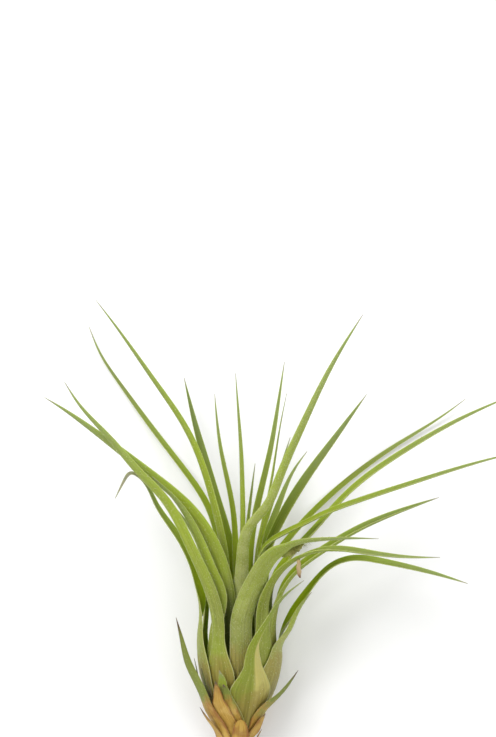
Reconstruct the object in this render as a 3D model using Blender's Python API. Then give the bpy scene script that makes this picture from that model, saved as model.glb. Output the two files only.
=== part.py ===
"""An air plant: a rosette of narrow channelled leaves round one short stem, lying on its back.

Lengths are in millimetres until the meshes are made. The plant is drawn standing: +Z runs up
its stem, -Y is its front and +X its right. It is then laid on its back, crown towards +Y.
"""

import math

import bmesh
import bpy
import numpy as np

MM = 0.001

# How thick a leaf is, and the tough old sheath that the plant lies on
BLADE_THICKNESS = 0.72
BEARING_THICKNESS = 1.4
SCALE_THICKNESS = 0.62

# Clear space between the stem and a leaf's foot, and from one nested sheath to the next
FOOT_GAP = 0.3
LAYER_STEP = 1.2
SCALE_STEP = 0.92

# Sheaths this many degrees apart count as clear of each other
SIDE_GAP = 2.0

# How many points cross each face of a leaf, and how its stations are spread along it
POINTS_ACROSS = 5
STATION_PITCH = 11.0
SCALE_PITCH = 6.5
SHEATH_PITCH = 9.0
BEND_PER_STATION = 0.85

# How far apart the knots of a sheath's line are, and how many points its line is sampled at
SHEATH_KNOTS = 5.0
LINE_POINTS = 600

# Half the angle that a free blade is folded through, and half the width of a tip
BLADE_FOLD = 44.0
SCALE_FOLD = 16.0
TIP_HALF_WIDTH = 0.42

# A sheath's section loosens into its blade's from this far before it parts to this far after
LOOSE_BEFORE = 4.0
LOOSE_AFTER = 18.0

# Shares of the sheath over which it narrows to its neck, and of the free blade over which it comes
# to its own width and turns to its own facing
NARROWS_FROM = 0.62
NARROWS_TO = 1.15
BLADE_FROM = 0.35
TURN_SHARE = 0.6

# A blade is rolled about its own line over this length past its parting. Where it is kinked it
# narrows to this share of its width, over this share of its length
ROLL_RUN = 26.0
PAST_KINK = 0.62
KINK_SHARE = 0.05

# The widest half section, as a share of its distance from the plant's axis
WIDEST_WRAP = 0.7

# The plant's outline below its neck: height, then radius to the middle of the outermost sheath
BULB_OUTLINE = ((-9, 4.6), (0, 6.2), (8, 9.8), (17, 14.7), (26, 18.2), (35, 19.9), (44, 20.3), (56, 20.2),
                (90, 19.6))

# The stem inside, from its dry cut end to its growing point: height, then radius
STEM_OUTLINE = ((-8, 3.7), (-6.5, 4.1), (-3, 4.5), (1, 5.3), (8, 6.9), (16, 6.9), (22, 5.0), (26, 2.6))
STEM_TOP = 27.4
STEM_SIDES = 20

# The least height at which a leaf is rooted, and the steps in which its foot is looked for
LEAF_FOOT = 5.0
FOOT_STEP = 0.25

# Where the innermost scales start on the stem, how much lower each layer starts, and the height
# over which a scale swings out to its layer
SCALE_FOOT = 0.2
SCALE_FOOT_STEP = 1.9
SCALE_SWING = 5.0

# The eye that the leaf paths were drawn for: straight in front, this far off and this high
SIGHT_DISTANCE = 1200.0
SIGHT_ACROSS = 3.6
SIGHT_UP = 166.0

# The plant lies on its back with its crown tipped up this far, and is pressed flat this deep below
# its bulb. LYING_UP is the direction that then points up
CROWN_TILT = math.radians(15)
BEARING_FLAT = 0.6
LYING_UP = np.array([0.0, -math.cos(CROWN_TILT), math.sin(CROWN_TILT)])

ROUGHNESS = 0.6
SKINS = {
    "sage": (0.30, 0.36, 0.11),
    "green": (0.24, 0.33, 0.05),
    "tan": (0.42, 0.27, 0.09),
    "bark": (0.12, 0.06, 0.03),
}


class Leaf:
    """One leaf: a sheath on its own azimuth round the bulb, then a blade through its own points.

    azimuth is where it is rooted, in degrees from the front towards the right, and spread is half
    the angle that its sheath wraps. It follows the bulb up to parts_at, where its half width is
    neck, and then runs through path, points of (across, up, towards the eye) as seen from the
    front. blade is half the width of its free part, and its channel opens away from facing, then
    rolls towards the eye by roll degrees. keel is how far its section is a crease and not a
    curve, and kink the share of the blade at which it is pinched, if it is. A leaf that clings
    stays concentric with the bulb to its tip.
    """

    def __init__(self, name, azimuth, spread, parts_at, neck, blade, facing, path,
                 skin="sage", sweep=0.0, least_depth=0.0, fold=BLADE_FOLD, blunt=2.6, dome=1.0,
                 thickness=BLADE_THICKNESS, pitch=STATION_PITCH, clings=False, roll=0.0, keel=0.0,
                 kink=None):
        self.name = name
        self.azimuth = azimuth
        self.spread = spread
        self.parts_at = parts_at
        self.neck = neck
        self.blade = blade
        self.facing = facing
        self.path = path
        self.skin = skin
        self.sweep = sweep
        self.fold = fold
        self.blunt = blunt
        self.dome = dome
        self.thickness = thickness
        self.pitch = pitch
        self.clings = clings
        self.roll = roll
        self.keel = keel
        self.kink = kink
        self.least_depth = least_depth
        self.depth = 0.0
        self.foot = 0.0


class Scale(Leaf):
    """A dry scale: a short leaf that lies flat on the bulb, in a layer counted outwards from it."""

    def __init__(self, name, layer, azimuth, spread, parts_at, neck, blade, path,
                 skin="tan", facing=None, blunt=2.2, clings=True, **others):
        facing = azimuth if facing is None else facing
        super().__init__(name, azimuth, spread, parts_at, neck, blade, facing, path, skin=skin,
                         fold=SCALE_FOLD, blunt=blunt, thickness=SCALE_THICKNESS, pitch=SCALE_PITCH,
                         clings=clings, **others)
        self.depth = -SCALE_STEP * layer
        self.foot = SCALE_FOOT - SCALE_FOOT_STEP * (layer - 1)


# The leaves, from the outermost and oldest to the innermost
LEAVES = (
    Leaf("leaf_01", 18, 35, 31, 4.4, 2.6, 62, fold=56, keel=0.8, roll=6, skin="green",
         path=((6.6, 39.2, 21.5), (12.4, 51.0, 24.0), (18.8, 61.7, 27.0), (28.8, 70.6, 31.0))),
    Leaf("leaf_02", 180, 25, 38, 4.0, 2.4, 180, thickness=BEARING_THICKNESS,
         path=((1.5, 56.0, -22.5), (2.5, 72.0, -26.5), (4.0, 85.0, -29.5))),
    Leaf("leaf_03", -76, 29, 46, 4.2, 3.2, -58, blunt=1.9, least_depth=1.2, roll=58,
         path=((-18.0, 60.0, 5.0), (-20.2, 72.5, 5.6), (-28.2, 90.0, 6.0), (-38.4, 105.5, 6.2),
               (-46.4, 117.8, 6.4), (-49.2, 118.8, 6.6), (-52.2, 115.4, 7.0), (-56.2, 107.5, 8.0))),
    Leaf("leaf_04", 68, 38, 41, 4.8, 3.0, 66, sweep=12, fold=50, blunt=2.2,
         path=((22.4, 48.0, 7.4), (25.1, 54.0, 8.6), (28.2, 59.9, 9.8), (32.3, 65.4, 11.0))),
    Leaf("leaf_05", -148, 24, 42, 3.6, 2.2, -158,
         path=((-8.5, 58.0, -19.5), (-9.5, 73.0, -24.0), (-9.5, 86.0, -27.5))),
    Leaf("leaf_06", -33, 25, 41, 3.2, 3.2, -48, blunt=3.2, roll=-16,
         path=((-11.2, 57.0, 17.8), (-15.4, 70.0, 19.4), (-22.8, 86.0, 19.5), (-33.4, 105.6, 17.5),
               (-46.4, 119.8, 13.5), (-59.4, 135.0, 9.5), (-72.7, 150.0, 5.5), (-79.0, 160.0, 2.5))),
    Leaf("leaf_07", 88, 22, 43, 4.0, 2.4, 62, fold=58, keel=0.5, roll=42, blunt=4.2,
         path=((23.4, 54.0, 2.0), (33.2, 68.5, 4.5), (43.2, 77.8, 6.0), (50.0, 80.0, 6.6),
               (64.0, 78.8, 8.0), (83.0, 74.7, 9.0), (102.5, 69.2, 10.0))),
    Leaf("leaf_08", 128, 24, 44, 3.6, 2.2, 140,
         path=((11.0, 60.0, -15.0), (12.5, 75.0, -20.5), (13.0, 86.0, -24.5))),
    Leaf("leaf_09", -108, 22, 44, 3.4, 2.2, -112,
         path=((-15.8, 70.0, -6.5), (-18.9, 86.0, -10.0), (-25.2, 97.5, -15.0), (-32.4, 106.7, -20.0),
               (-38.0, 114.0, -25.0))),
    Leaf("leaf_10", 36, 22, 46, 3.8, 3.1, 44, fold=50, roll=16, blunt=3.6, skin="green",
         path=((11.6, 60.0, 17.5), (17.2, 72.4, 22.0), (26.2, 80.2, 27.0), (38.5, 84.0, 31.5),
               (59.6, 82.3, 37.0), (78.9, 80.8, 40.5), (90.0, 81.0, 42.0))),
    Leaf("leaf_11", -40, 22, 50, 3.2, 2.6, -46, roll=-16, blunt=3.0,
         path=((-9.0, 64.0, 14.2), (-12.6, 74.3, 14.8), (-17.6, 86.4, 14.3), (-28.0, 105.3, 12.4),
               (-39.6, 117.4, 10.5))),
    Leaf("leaf_12", 63, 22, 46, 3.6, 3.3, 56, fold=56, roll=32, blunt=3.6,
         path=((16.6, 57.0, 9.3), (21.8, 69.6, 11.0), (29.0, 77.2, 12.4), (37.4, 83.2, 13.5),
               (53.2, 92.8, 14.0), (72.6, 101.5, 13.0), (89.6, 108.0, 12.0))),
    Leaf("leaf_13", -136, 20, 50, 2.8, 2.4, -148, least_depth=6, blunt=3.0,
         path=((-9.0, 75.0, -13.0), (-11.0, 93.0, -19.0), (-16.6, 107.2, -26.5), (-23.6, 117.7, -32.6),
               (-37.8, 136.4, -43.8), (-54.7, 159.8, -53.2), (-63.0, 172.8, -55.9), (-68.0, 185.0, -58.5))),
    Leaf("leaf_14", 2, 19, 52, 4.8, 3.6, 36, fold=40, blunt=4.0, kink=0.5, roll=-22,
         path=((2.4, 59.5, 17.5), (6.6, 69.3, 22.0), (12.2, 78.7, 31.0), (19.0, 84.2, 41.0),
               (26.5, 87.4, 50.0), (33.8, 88.5, 56.5), (50.4, 89.4, 65.5), (62.4, 89.4, 70.5))),
    Leaf("leaf_15", 148, 20, 50, 2.7, 2.1, 158, least_depth=5, blunt=3.0,
         path=((9.0, 67.0, -13.5), (18.0, 84.0, -21.5), (33.3, 101.6, -34.1), (47.5, 114.6, -40.8),
               (69.2, 130.6, -44.3), (92.0, 145.2, -46.5), (101.5, 152.3, -47.0))),
    Leaf("leaf_16", 68, 22, 50, 3.3, 3.4, 62, least_depth=4.5, roll=42, blunt=4.0,
         path=((15.8, 70.7, 6.2), (25.4, 84.2, 5.5), (34.6, 94.2, 4.0), (49.4, 110.2, 1.0),
               (73.2, 127.9, -2.5), (102.2, 144.5, -5.0), (123.8, 154.4, -6.5))),
    Leaf("leaf_17", 116, 20, 54, 2.9, 3.1, 142, least_depth=7, blunt=3.2, skin="green",
         path=((12.0, 80.0, -6.6), (16.6, 92.7, -9.0), (22.8, 104.6, -12.0), (28.4, 113.8, -14.4),
               (41.2, 132.0, -19.0), (57.0, 154.4, -25.0))),
    Leaf("leaf_18", -26, 20, 52, 3.6, 3.4, -50, least_depth=8.5, roll=-14, blunt=3.6,
         path=((-6.4, 66.0, 11.2), (-9.8, 79.7, 11.4), (-22.0, 101.0, 9.5), (-41.2, 118.2, 6.0),
               (-65.0, 136.8, 0.0), (-81.2, 148.6, -4.0), (-88.0, 153.0, -6.0))),
    Leaf("leaf_19", 150, 16, 54, 2.6, 2.6, 158, least_depth=7, blunt=1.9,
         path=((7.2, 70.7, -13.0), (11.2, 86.4, -18.0), (18.0, 105.8, -25.5), (24.8, 121.0, -31.5),
               (30.2, 128.7, -34.5))),
    Leaf("leaf_20", 0, 22, 56, 3.3, 2.35, 14, fold=36, blunt=2.8, least_depth=10.5,
         path=((0.5, 70.0, 9.8), (1.2, 82.0, 11.2), (3.2, 92.6, 13.2), (12.0, 104.0, 15.4),
               (17.4, 115.7, 16.5), (28.5, 141.0, 17.0), (40.6, 166.0, 15.5), (55.4, 190.4, 13.0))),
    Leaf("leaf_21", 154, 18, 58, 2.3, 2.1, 168, least_depth=10, skin="green",
         path=((4.4, 79.7, -11.0), (7.8, 103.5, -16.5), (13.4, 127.8, -26.5), (17.9, 154.6, -38.0),
               (20.0, 169.0, -44.5))),
    Leaf("leaf_22", -152, 18, 58, 2.7, 2.3, -168, least_depth=10.5,
         path=((-4.4, 79.7, -10.0), (-10.2, 104.4, -17.0), (-16.6, 127.4, -28.0), (-20.0, 140.0, -34.5),
               (-25.2, 162.0, -45.0))),
    Leaf("leaf_23", 62, 18, 60, 2.4, 2.9, 58, least_depth=11, roll=32, blunt=4.2,
         path=((8.0, 76.0, 5.0), (11.4, 85.4, 6.0), (18.6, 90.8, 7.2), (29.7, 96.2, 8.5), (36.9, 99.8, 9.2),
               (49.4, 104.7, 10.0), (79.0, 114.6, 10.0), (115.0, 125.7, 9.0), (126.0, 128.5, 8.5))),
    Leaf("leaf_24", -66, 20, 60, 2.7, 2.5, -62, least_depth=12.5, roll=-24, blunt=3.2,
         path=((-7.4, 79.7, 3.0), (-12.7, 106.9, 1.0), (-23.0, 135.9, -2.5), (-37.7, 158.8, -7.0),
               (-56.4, 185.5, -13.0), (-64.8, 196.7, -16.0))),
    Leaf("leaf_25", 118, 16, 62, 1.9, 2.2, 130, least_depth=11,
         path=((9.6, 88.7, -5.0), (14.9, 106.7, -6.5), (19.9, 125.6, -8.5), (22.6, 135.0, -9.5))),
    Leaf("leaf_26", 88, 18, 60, 2.1, 1.7, 76, least_depth=12.5,
         path=((7.4, 79.7, 0.2), (10.6, 97.7, 0.4), (14.0, 113.4, 0.0), (18.0, 139.0, -2.0),
               (21.0, 154.8, -3.0))),
    Leaf("leaf_27", -174, 18, 62, 2.0, 1.5, -176, least_depth=12.5,
         path=((-1.8, 82.0, -8.0), (-3.0, 100.8, -11.5), (-8.3, 127.8, -20.0), (-10.1, 140.0, -26.0),
               (-11.4, 154.6, -34.0))),
    Leaf("leaf_28", -30, 18, 62, 1.8, 1.5, -20, least_depth=15,
         path=((0.0, 79.7, 3.6), (1.1, 99.0, 2.6), (0.9, 113.4, 1.0), (0.3, 130.5, -1.0),
               (-0.7, 145.0, -3.0), (-2.0, 163.8, -6.0))),
    Leaf("leaf_29", 146, 14, 64, 1.2, 1.1, 150, least_depth=15,
         path=((2.6, 84.0, -4.5), (4.0, 99.9, -5.5), (6.8, 123.3, -7.5))),
)

# The dry scales, the remains of older leaves low on the bulb, with the layer that each lies in
SCALES = (
    Scale("scale_01", 1, -26, 18, 22, 3.6, 2.4, sweep=-28, skin="sage",
          path=((-8.0, 25.5, 17.6), (-9.4, 30.2, 19.4))),
    Scale("scale_02", 1, 44, 18, 9, 3.6, 3.2, sweep=4, facing=60, clings=False,
          path=((10.8, 12.8, 10.6), (15.9, 17.2, 10.2), (20.8, 22.4, 8.6), (26.2, 30.2, 6.0))),
    Scale("scale_03", 4, -58, 24, 14, 4.4, 3.0, sweep=-16, facing=-34, blunt=1.6, clings=False,
          path=((-16.9, 19.5, 11.4), (-19.4, 25.0, 10.6), (-23.4, 33.5, 8.6), (-25.9, 42.5, 7.0),
                (-28.8, 54.0, 6.0))),
    Scale("scale_04", 1.3, -53, 7, 22, 1.6, 1.0, sweep=-2, skin="bark",
          path=((-16.4, 27.4, 12.2), (-17.4, 31.2, 13.0))),
    Scale("scale_05", 1, 138, 18, 14, 3.0, 1.8, path=((11.4, 20.5, -13.2), (13.0, 26.0, -15.2))),
    Scale("scale_06", 1, -136, 18, 12, 3.0, 1.8, path=((-11.2, 18.5, -11.6), (-13.0, 24.0, -13.2))),
    Scale("scale_07", 2, -20, 17, 16, 3.8, 2.6, sweep=-24, path=((-6.2, 20.0, 18.0), (-7.6, 24.0, 19.6))),
    Scale("scale_08", 1.3, -76, 7, 22, 1.6, 1.0, sweep=-2, skin="bark",
          path=((-19.4, 30.0, 5.4), (-20.6, 35.6, 5.8))),
    Scale("scale_09", 1, 178, 16, 5, 2.8, 1.6, path=((0.2, 9.0, -11.0), (0.2, 13.0, -12.8))),
    Scale("scale_10", 3, -32, 18, 16, 4.0, 2.8, sweep=-24,
          path=((-10.2, 20.5, 17.4), (-11.0, 25.2, 19.2))),
    Scale("scale_11", 2, 46, 19, 3, 3.4, 2.8, sweep=2, path=((8.8, 6.4, 8.8), (11.4, 10.8, 9.6))),
    Scale("scale_12", 3, 76, 14, -1, 2.4, 1.4, path=((8.4, 1.2, 2.6), (9.8, 3.6, 2.8))),
    Scale("scale_13", 5, -58, 19, 2, 3.0, 2.2, sweep=-6, skin="bark",
          path=((-12.4, 5.4, 7.8), (-15.0, 8.8, 8.0), (-18.0, 13.6, 8.2))),
    Scale("scale_14", 5, 1, 21, 0, 3.9, 3.8, blunt=2.6, dome=0.5,
          path=((0.2, 3.6, 13.4), (0.3, 8.0, 15.0))),
)


class Curve:
    """A natural cubic spline through points given at rising parameters."""

    def __init__(self, parameters, points):
        self.knots = np.array(parameters, float)
        self.points = np.array(points, float)
        self.steps = np.diff(self.knots)
        count = len(self.knots)
        matrix = np.eye(count)
        right = np.zeros_like(self.points)
        for i in range(1, count - 1):
            before = self.steps[i - 1]
            after = self.steps[i]
            matrix[i, i - 1:i + 2] = before, 2 * (before + after), after
            rise = (self.points[i + 1] - self.points[i]) / after
            right[i] = 6 * (rise - (self.points[i] - self.points[i - 1]) / before)
        self.bends = np.linalg.solve(matrix, right)

    def at(self, parameters):
        values = np.asarray(parameters, float)
        span = np.clip(np.searchsorted(self.knots, values) - 1, 0, len(self.steps) - 1)
        step = self.steps[span]
        back = (self.knots[span + 1] - values) / step
        ahead = 1 - back
        if self.points.ndim > 1:
            step, back, ahead = step[..., None], back[..., None], ahead[..., None]
        lower = self.bends[span]
        upper = self.bends[span + 1]
        line = back * self.points[span] + ahead * self.points[span + 1]
        return line + ((back ** 3 - back) * lower + (ahead ** 3 - ahead) * upper) * step ** 2 / 6


def ease(value, start, end):
    """0 before start, 1 after end, and a smooth rise between them."""
    share = np.clip((value - start) / (end - start), 0, 1)
    return share * share * (3 - 2 * share)


def unit(vectors):
    return vectors / np.linalg.norm(vectors, axis=-1, keepdims=True)


BULB = Curve([height for height, radius in BULB_OUTLINE], [radius for height, radius in BULB_OUTLINE])


def stem_radius(height):
    return np.interp(height, [low for low, radius in STEM_OUTLINE], [radius for low, radius in STEM_OUTLINE])


def seen(across, up, toward):
    """The place of a point that the eye in front sees at (across, up), this far towards it."""
    shrink = (SIGHT_DISTANCE - toward) / SIGHT_DISTANCE
    return (SIGHT_ACROSS + (across - SIGHT_ACROSS) * shrink, -toward, SIGHT_UP + (up - SIGHT_UP) * shrink)


def turned(azimuth, radius, height):
    """A point on an azimuth in degrees, from the front towards the right."""
    angle = math.radians(azimuth)
    return (radius * math.sin(angle), -radius * math.cos(angle), height)


def reach(leaf):
    """The middle of the arc that a sheath covers on its way up, and half of that arc."""
    return leaf.azimuth - leaf.sweep / 2, leaf.spread + abs(leaf.sweep) / 2


def nest(leaves):
    """Gives each leaf the first layer that clears every earlier leaf that its sheath overlaps.

    It is rooted at the first height at which that layer clears the stem.
    """
    heights = np.arange(LEAF_FOOT, STEM_TOP, FOOT_STEP)
    for order, leaf in enumerate(leaves):
        middle, half = reach(leaf)
        swell = (leaf.thickness - BLADE_THICKNESS) / 2
        leaf.depth = leaf.least_depth + swell
        for other in leaves[:order]:
            other_middle, other_half = reach(other)
            apart = abs((middle - other_middle + 180) % 360 - 180)
            if apart < half + other_half + SIDE_GAP:
                step = LAYER_STEP + swell + (other.thickness - BLADE_THICKNESS) / 2
                leaf.depth = max(leaf.depth, other.depth + step)
        clear = BULB.at(heights) - leaf.depth > stem_clearance(leaf, heights)
        leaf.foot = heights[np.argmax(clear)]


def stem_clearance(leaf, height):
    """The least radius at which the middle of a leaf passes the stem."""
    return stem_radius(height) + FOOT_GAP + leaf.thickness / 2


def sheath_radius(leaf, height):
    """How far a sheath's middle stands from the plant's axis: scales swing out from their foot."""
    outer = BULB.at(height) - leaf.depth
    if leaf.depth >= 0:
        return outer
    root = stem_clearance(leaf, height)
    return root + (outer - root) * ease(height, leaf.foot, leaf.foot + SCALE_SWING)


def root_azimuth(leaf, height):
    """The azimuth of a sheath's middle, which sweeps round the bulb on its way up."""
    return leaf.azimuth - leaf.sweep * (1 - ease(height, leaf.foot, leaf.parts_at))


def middle_line(leaf):
    """A leaf's middle line as close points, the distance run at each, and at the leaf's parting."""
    steps = max(3, math.ceil((leaf.parts_at - leaf.foot) / SHEATH_KNOTS)) + 1
    heights = np.linspace(leaf.foot, leaf.parts_at, steps)
    rooted = zip(root_azimuth(leaf, heights), sheath_radius(leaf, heights), heights)
    knots = np.array([turned(*point) for point in rooted] + [seen(*point) for point in leaf.path])
    chords = np.concatenate([[0], np.cumsum(np.linalg.norm(np.diff(knots, axis=0), axis=1))])
    fine = np.linspace(0, chords[-1], LINE_POINTS)
    line = Curve(chords, knots).at(fine)
    run = np.concatenate([[0], np.cumsum(np.linalg.norm(np.diff(line, axis=0), axis=1))])
    return line, run, np.interp(chords[steps - 1], fine, run)


def spread_stations(leaf, run, heading, parting):
    """Where along a leaf its sections go: closer together in its sheath and where it bends."""
    bend = np.linalg.norm(np.gradient(heading, run, axis=0), axis=1)
    sheathed = 1 - ease(run, parting, parting + LOOSE_AFTER)
    density = 1 / STATION_PITCH + bend / BEND_PER_STATION + sheathed / SHEATH_PITCH
    density *= STATION_PITCH / leaf.pitch
    total = np.concatenate([[0], np.cumsum((density[1:] + density[:-1]) / 2 * np.diff(run))])
    return np.interp(np.linspace(0, total[-1], math.ceil(total[-1]) + 1), total, run)


def half_widths(leaf, stations, parting, length, radius):
    """Half the width of a leaf: its wrap round the bulb, then its neck, its blade and its tip."""
    wrap = radius * math.sin(math.radians(leaf.spread))
    half = wrap + (leaf.neck - wrap) * ease(stations, NARROWS_FROM * parting, NARROWS_TO * parting)
    end = np.clip((stations - parting) / (length - parting), 0, 1)
    half = half + (leaf.blade - leaf.neck) * ease(end, 0, BLADE_FROM)
    if leaf.kink:
        half = half * (1 - (1 - PAST_KINK) * ease(end, leaf.kink - KINK_SHARE, leaf.kink + KINK_SHARE))
    return TIP_HALF_WIDTH + (half - TIP_HALF_WIDTH) * (1 - end ** leaf.blunt) ** leaf.dome


def leaf_sections(leaf):
    """The outer and the inner rows of points across a leaf, one pair for each station."""
    line, run, parting = middle_line(leaf)
    heading = unit(np.gradient(line, run, axis=0))
    stations = spread_stations(leaf, run, heading, parting)
    place = np.stack([np.interp(stations, run, values) for values in line.T], axis=1)
    along = unit(np.stack([np.interp(stations, run, values) for values in heading.T], axis=1))

    loose = ease(stations, parting - LOOSE_BEFORE, parting + LOOSE_AFTER) * (not leaf.clings)
    turn = ease(stations, parting, parting + TURN_SHARE * (run[-1] - parting))
    rooted = root_azimuth(leaf, place[:, 2])
    facing = np.radians(rooted + turn * ((leaf.facing - rooted + 180) % 360 - 180))
    side = np.stack([np.cos(facing), np.sin(facing), np.zeros_like(facing)], axis=1)
    axis = unit((1 - loose)[:, None] * np.array([0.0, 0.0, 1.0]) + loose[:, None] * along)
    inward = unit(np.cross(axis, side))
    side = np.cross(inward, axis)
    roll = math.radians(leaf.roll) * ease(stations, parting, parting + ROLL_RUN)[:, None]
    roll = roll * (-1 if leaf.facing % 360 < 180 else 1)
    inward = inward * np.cos(roll) + side * np.sin(roll)
    side = np.cross(inward, axis)

    radius = np.hypot(place[:, 0], place[:, 1])
    half = half_widths(leaf, stations, parting, run[-1], radius)
    wrapped = np.arcsin(np.clip(half / radius, 0, WIDEST_WRAP))
    lean = wrapped + (math.radians(leaf.fold) - wrapped) * loose
    bow = (half / np.sin(lean))[:, None]
    crease = (leaf.keel * loose)[:, None]

    outer, inner = [], []
    for share in np.linspace(-1, 1, POINTS_ACROSS):
        angle = (lean * share)[:, None]
        slope = crease * np.tan(lean / 2)[:, None]
        rise = (1 - crease) * (1 - np.cos(angle)) + slope * np.abs(np.sin(angle))
        pitch = (1 - crease) * np.sin(angle) + slope * np.sign(angle) * np.cos(angle)
        middle = place + bow * (side * np.sin(angle) + inward * rise)
        wall = unit(inward * np.cos(angle) - side * pitch)
        outer.append(middle - wall * leaf.thickness / 2)
        inner.append(middle + wall * leaf.thickness / 2)
    return np.stack(outer, axis=1), np.stack(inner, axis=1)


def settle(points, floor):
    """Presses what would lie below the floor flat onto it."""
    below = np.minimum(points @ LYING_UP - floor, 0)
    return points - below[..., None] * LYING_UP


def skin_material(name):
    material = bpy.data.materials.get(name) or bpy.data.materials.new(name)
    material.use_nodes = True
    shader = material.node_tree.nodes["Principled BSDF"]
    shader.inputs["Base Color"].default_value = (*SKINS[name], 1)
    shader.inputs["Roughness"].default_value = ROUGHNESS
    shader.inputs["Metallic"].default_value = 0.0
    return material


def add_object(name, origin, points, triangles, skin):
    """One closed body, drawn about its own root."""
    mesh = bpy.data.meshes.new(name)
    mesh.from_pydata([tuple((point - origin) * MM) for point in points], [], triangles)
    mesh.update()
    mesh.shade_smooth()
    mesh.materials.append(skin_material(skin))
    made = bpy.data.objects.new(name, mesh)
    made.location = tuple(origin * MM)
    bpy.context.scene.collection.objects.link(made)
    return made


def tube_triangles(rings, ring):
    """The walls between rings of points, all listed the same way round."""
    triangles = []
    for low in range(rings - 1):
        for corner in range(ring):
            turn = (corner + 1) % ring
            a, b = low * ring + corner, low * ring + turn
            triangles += [(a, b, b + ring), (a, b + ring, a + ring)]
    return triangles


def add_leaf(leaf, floor):
    outer, inner = leaf_sections(leaf)
    rings = np.concatenate([outer, inner[:, ::-1]], axis=1)
    count, ring = rings.shape[:2]
    points = settle(rings.reshape(-1, 3), floor)
    triangles = tube_triangles(count, ring)
    last = (count - 1) * ring
    for step in range(ring // 2 - 1):
        left, right = step, ring - 1 - step
        triangles.append((left, right, step + 1))
        triangles.append((step + 1, right, right - 1))
        triangles.append((last + left, last + step + 1, last + right))
        triangles.append((last + step + 1, last + right - 1, last + right))
    origin = np.array(turned(leaf.azimuth, 0, leaf.foot))
    return add_object(leaf.name, origin, points, triangles, leaf.skin)


def add_stem():
    """A turned core: closed flat at its cut end and domed at its growing point."""
    mesh = bmesh.new()
    rings = []
    for height, radius in STEM_OUTLINE:
        corners = [turned(360 * corner / STEM_SIDES, radius, height) for corner in range(STEM_SIDES)]
        rings.append([mesh.verts.new([value * MM for value in corner]) for corner in corners])
    for lower, upper in zip(rings, rings[1:]):
        for corner in range(STEM_SIDES):
            turn = (corner + 1) % STEM_SIDES
            mesh.faces.new((lower[corner], lower[turn], upper[turn], upper[corner]))
    mesh.faces.new(list(reversed(rings[0])))
    top = mesh.verts.new((0, 0, STEM_TOP * MM))
    for corner in range(STEM_SIDES):
        mesh.faces.new((rings[-1][corner], rings[-1][(corner + 1) % STEM_SIDES], top))
    bmesh.ops.recalc_face_normals(mesh, faces=mesh.faces)
    data = bpy.data.meshes.new("stem")
    mesh.to_mesh(data)
    mesh.free()
    data.shade_smooth()
    data.materials.append(skin_material("bark"))
    stem = bpy.data.objects.new("stem", data)
    bpy.context.scene.collection.objects.link(stem)
    return stem


def lay_down(objects):
    """Parents the plant to an empty that lays it on its back, centred over the origin."""
    bed = bpy.data.objects.new("bed", None)
    bpy.context.scene.collection.objects.link(bed)
    bed.rotation_euler = (CROWN_TILT - math.pi / 2, 0, 0)
    for made in objects:
        made.parent = bed
    bpy.context.view_layer.update()
    corners = np.array([made.matrix_world @ vertex.co for made in objects for vertex in made.data.vertices])
    low, high = corners.min(axis=0), corners.max(axis=0)
    bed.location = (-(low[0] + high[0]) / 2, -(low[1] + high[1]) / 2, -low[2])
    bpy.context.view_layer.update()


def main():
    for old in list(bpy.data.objects):
        bpy.data.objects.remove(old, do_unlink=True)
    nest(LEAVES)
    bearing = next(leaf for leaf in LEAVES if leaf.thickness == BEARING_THICKNESS)
    floor = (leaf_sections(bearing)[0] @ LYING_UP).min() + BEARING_FLAT
    objects = [add_stem()]
    objects += [add_leaf(leaf, floor) for leaf in LEAVES + SCALES]
    lay_down(objects)


main()
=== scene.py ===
"""An air plant lying on its back, as picked: fine leaves, dry scales and silvery hairs over its solids.

Lengths are in millimetres until the meshes are made. The plant is drawn standing: +Z runs up
its stem, -Y is its front and +X its right. It is then laid on its back, crown towards +Y.
"""

import math

import bpy
import numpy as np
from mathutils import Matrix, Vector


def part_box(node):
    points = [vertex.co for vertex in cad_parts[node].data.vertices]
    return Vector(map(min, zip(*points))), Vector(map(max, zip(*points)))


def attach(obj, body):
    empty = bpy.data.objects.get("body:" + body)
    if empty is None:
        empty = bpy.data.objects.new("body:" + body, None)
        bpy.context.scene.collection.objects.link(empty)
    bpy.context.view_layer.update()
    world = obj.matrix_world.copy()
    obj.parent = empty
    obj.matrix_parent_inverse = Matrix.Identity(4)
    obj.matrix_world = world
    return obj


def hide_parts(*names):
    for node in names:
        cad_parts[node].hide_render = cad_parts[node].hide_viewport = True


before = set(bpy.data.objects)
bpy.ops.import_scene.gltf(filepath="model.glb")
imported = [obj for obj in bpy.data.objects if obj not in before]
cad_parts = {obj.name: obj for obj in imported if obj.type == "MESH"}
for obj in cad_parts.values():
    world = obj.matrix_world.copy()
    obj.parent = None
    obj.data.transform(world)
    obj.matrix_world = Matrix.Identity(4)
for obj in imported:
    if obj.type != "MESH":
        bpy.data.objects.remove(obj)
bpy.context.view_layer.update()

MM = 0.001
BODY = "root"

# How thick a leaf is along its middle, and the tough old sheath that the plant lies on
BLADE_THICKNESS = 0.72
BEARING_THICKNESS = 1.4
SCALE_THICKNESS = 0.62

# A leaf thins to this share of its thickness at its margins, and to this share at its tip
MARGIN_SHARE = 0.16
TIP_SHARE = 0.3

# Clear space between the stem and a leaf's foot, and from one nested sheath to the next
FOOT_GAP = 0.3
LAYER_STEP = 1.2
SCALE_STEP = 0.92

# Sheaths this many degrees apart count as clear of each other
SIDE_GAP = 2.0

# How many points cross each face of a leaf, and how its stations are spread along it
POINTS_ACROSS = 19
STATION_PITCH = 1.7
SCALE_PITCH = 0.8
SHEATH_PITCH = 1.8
BEND_PER_STATION = 0.1

# How far apart the knots of a sheath's line are, how many spans it has at least, and how many points
# a leaf's line is sampled at
SHEATH_KNOTS = 5.0
LEAST_SPANS = 3
LINE_POINTS = 600

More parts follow.
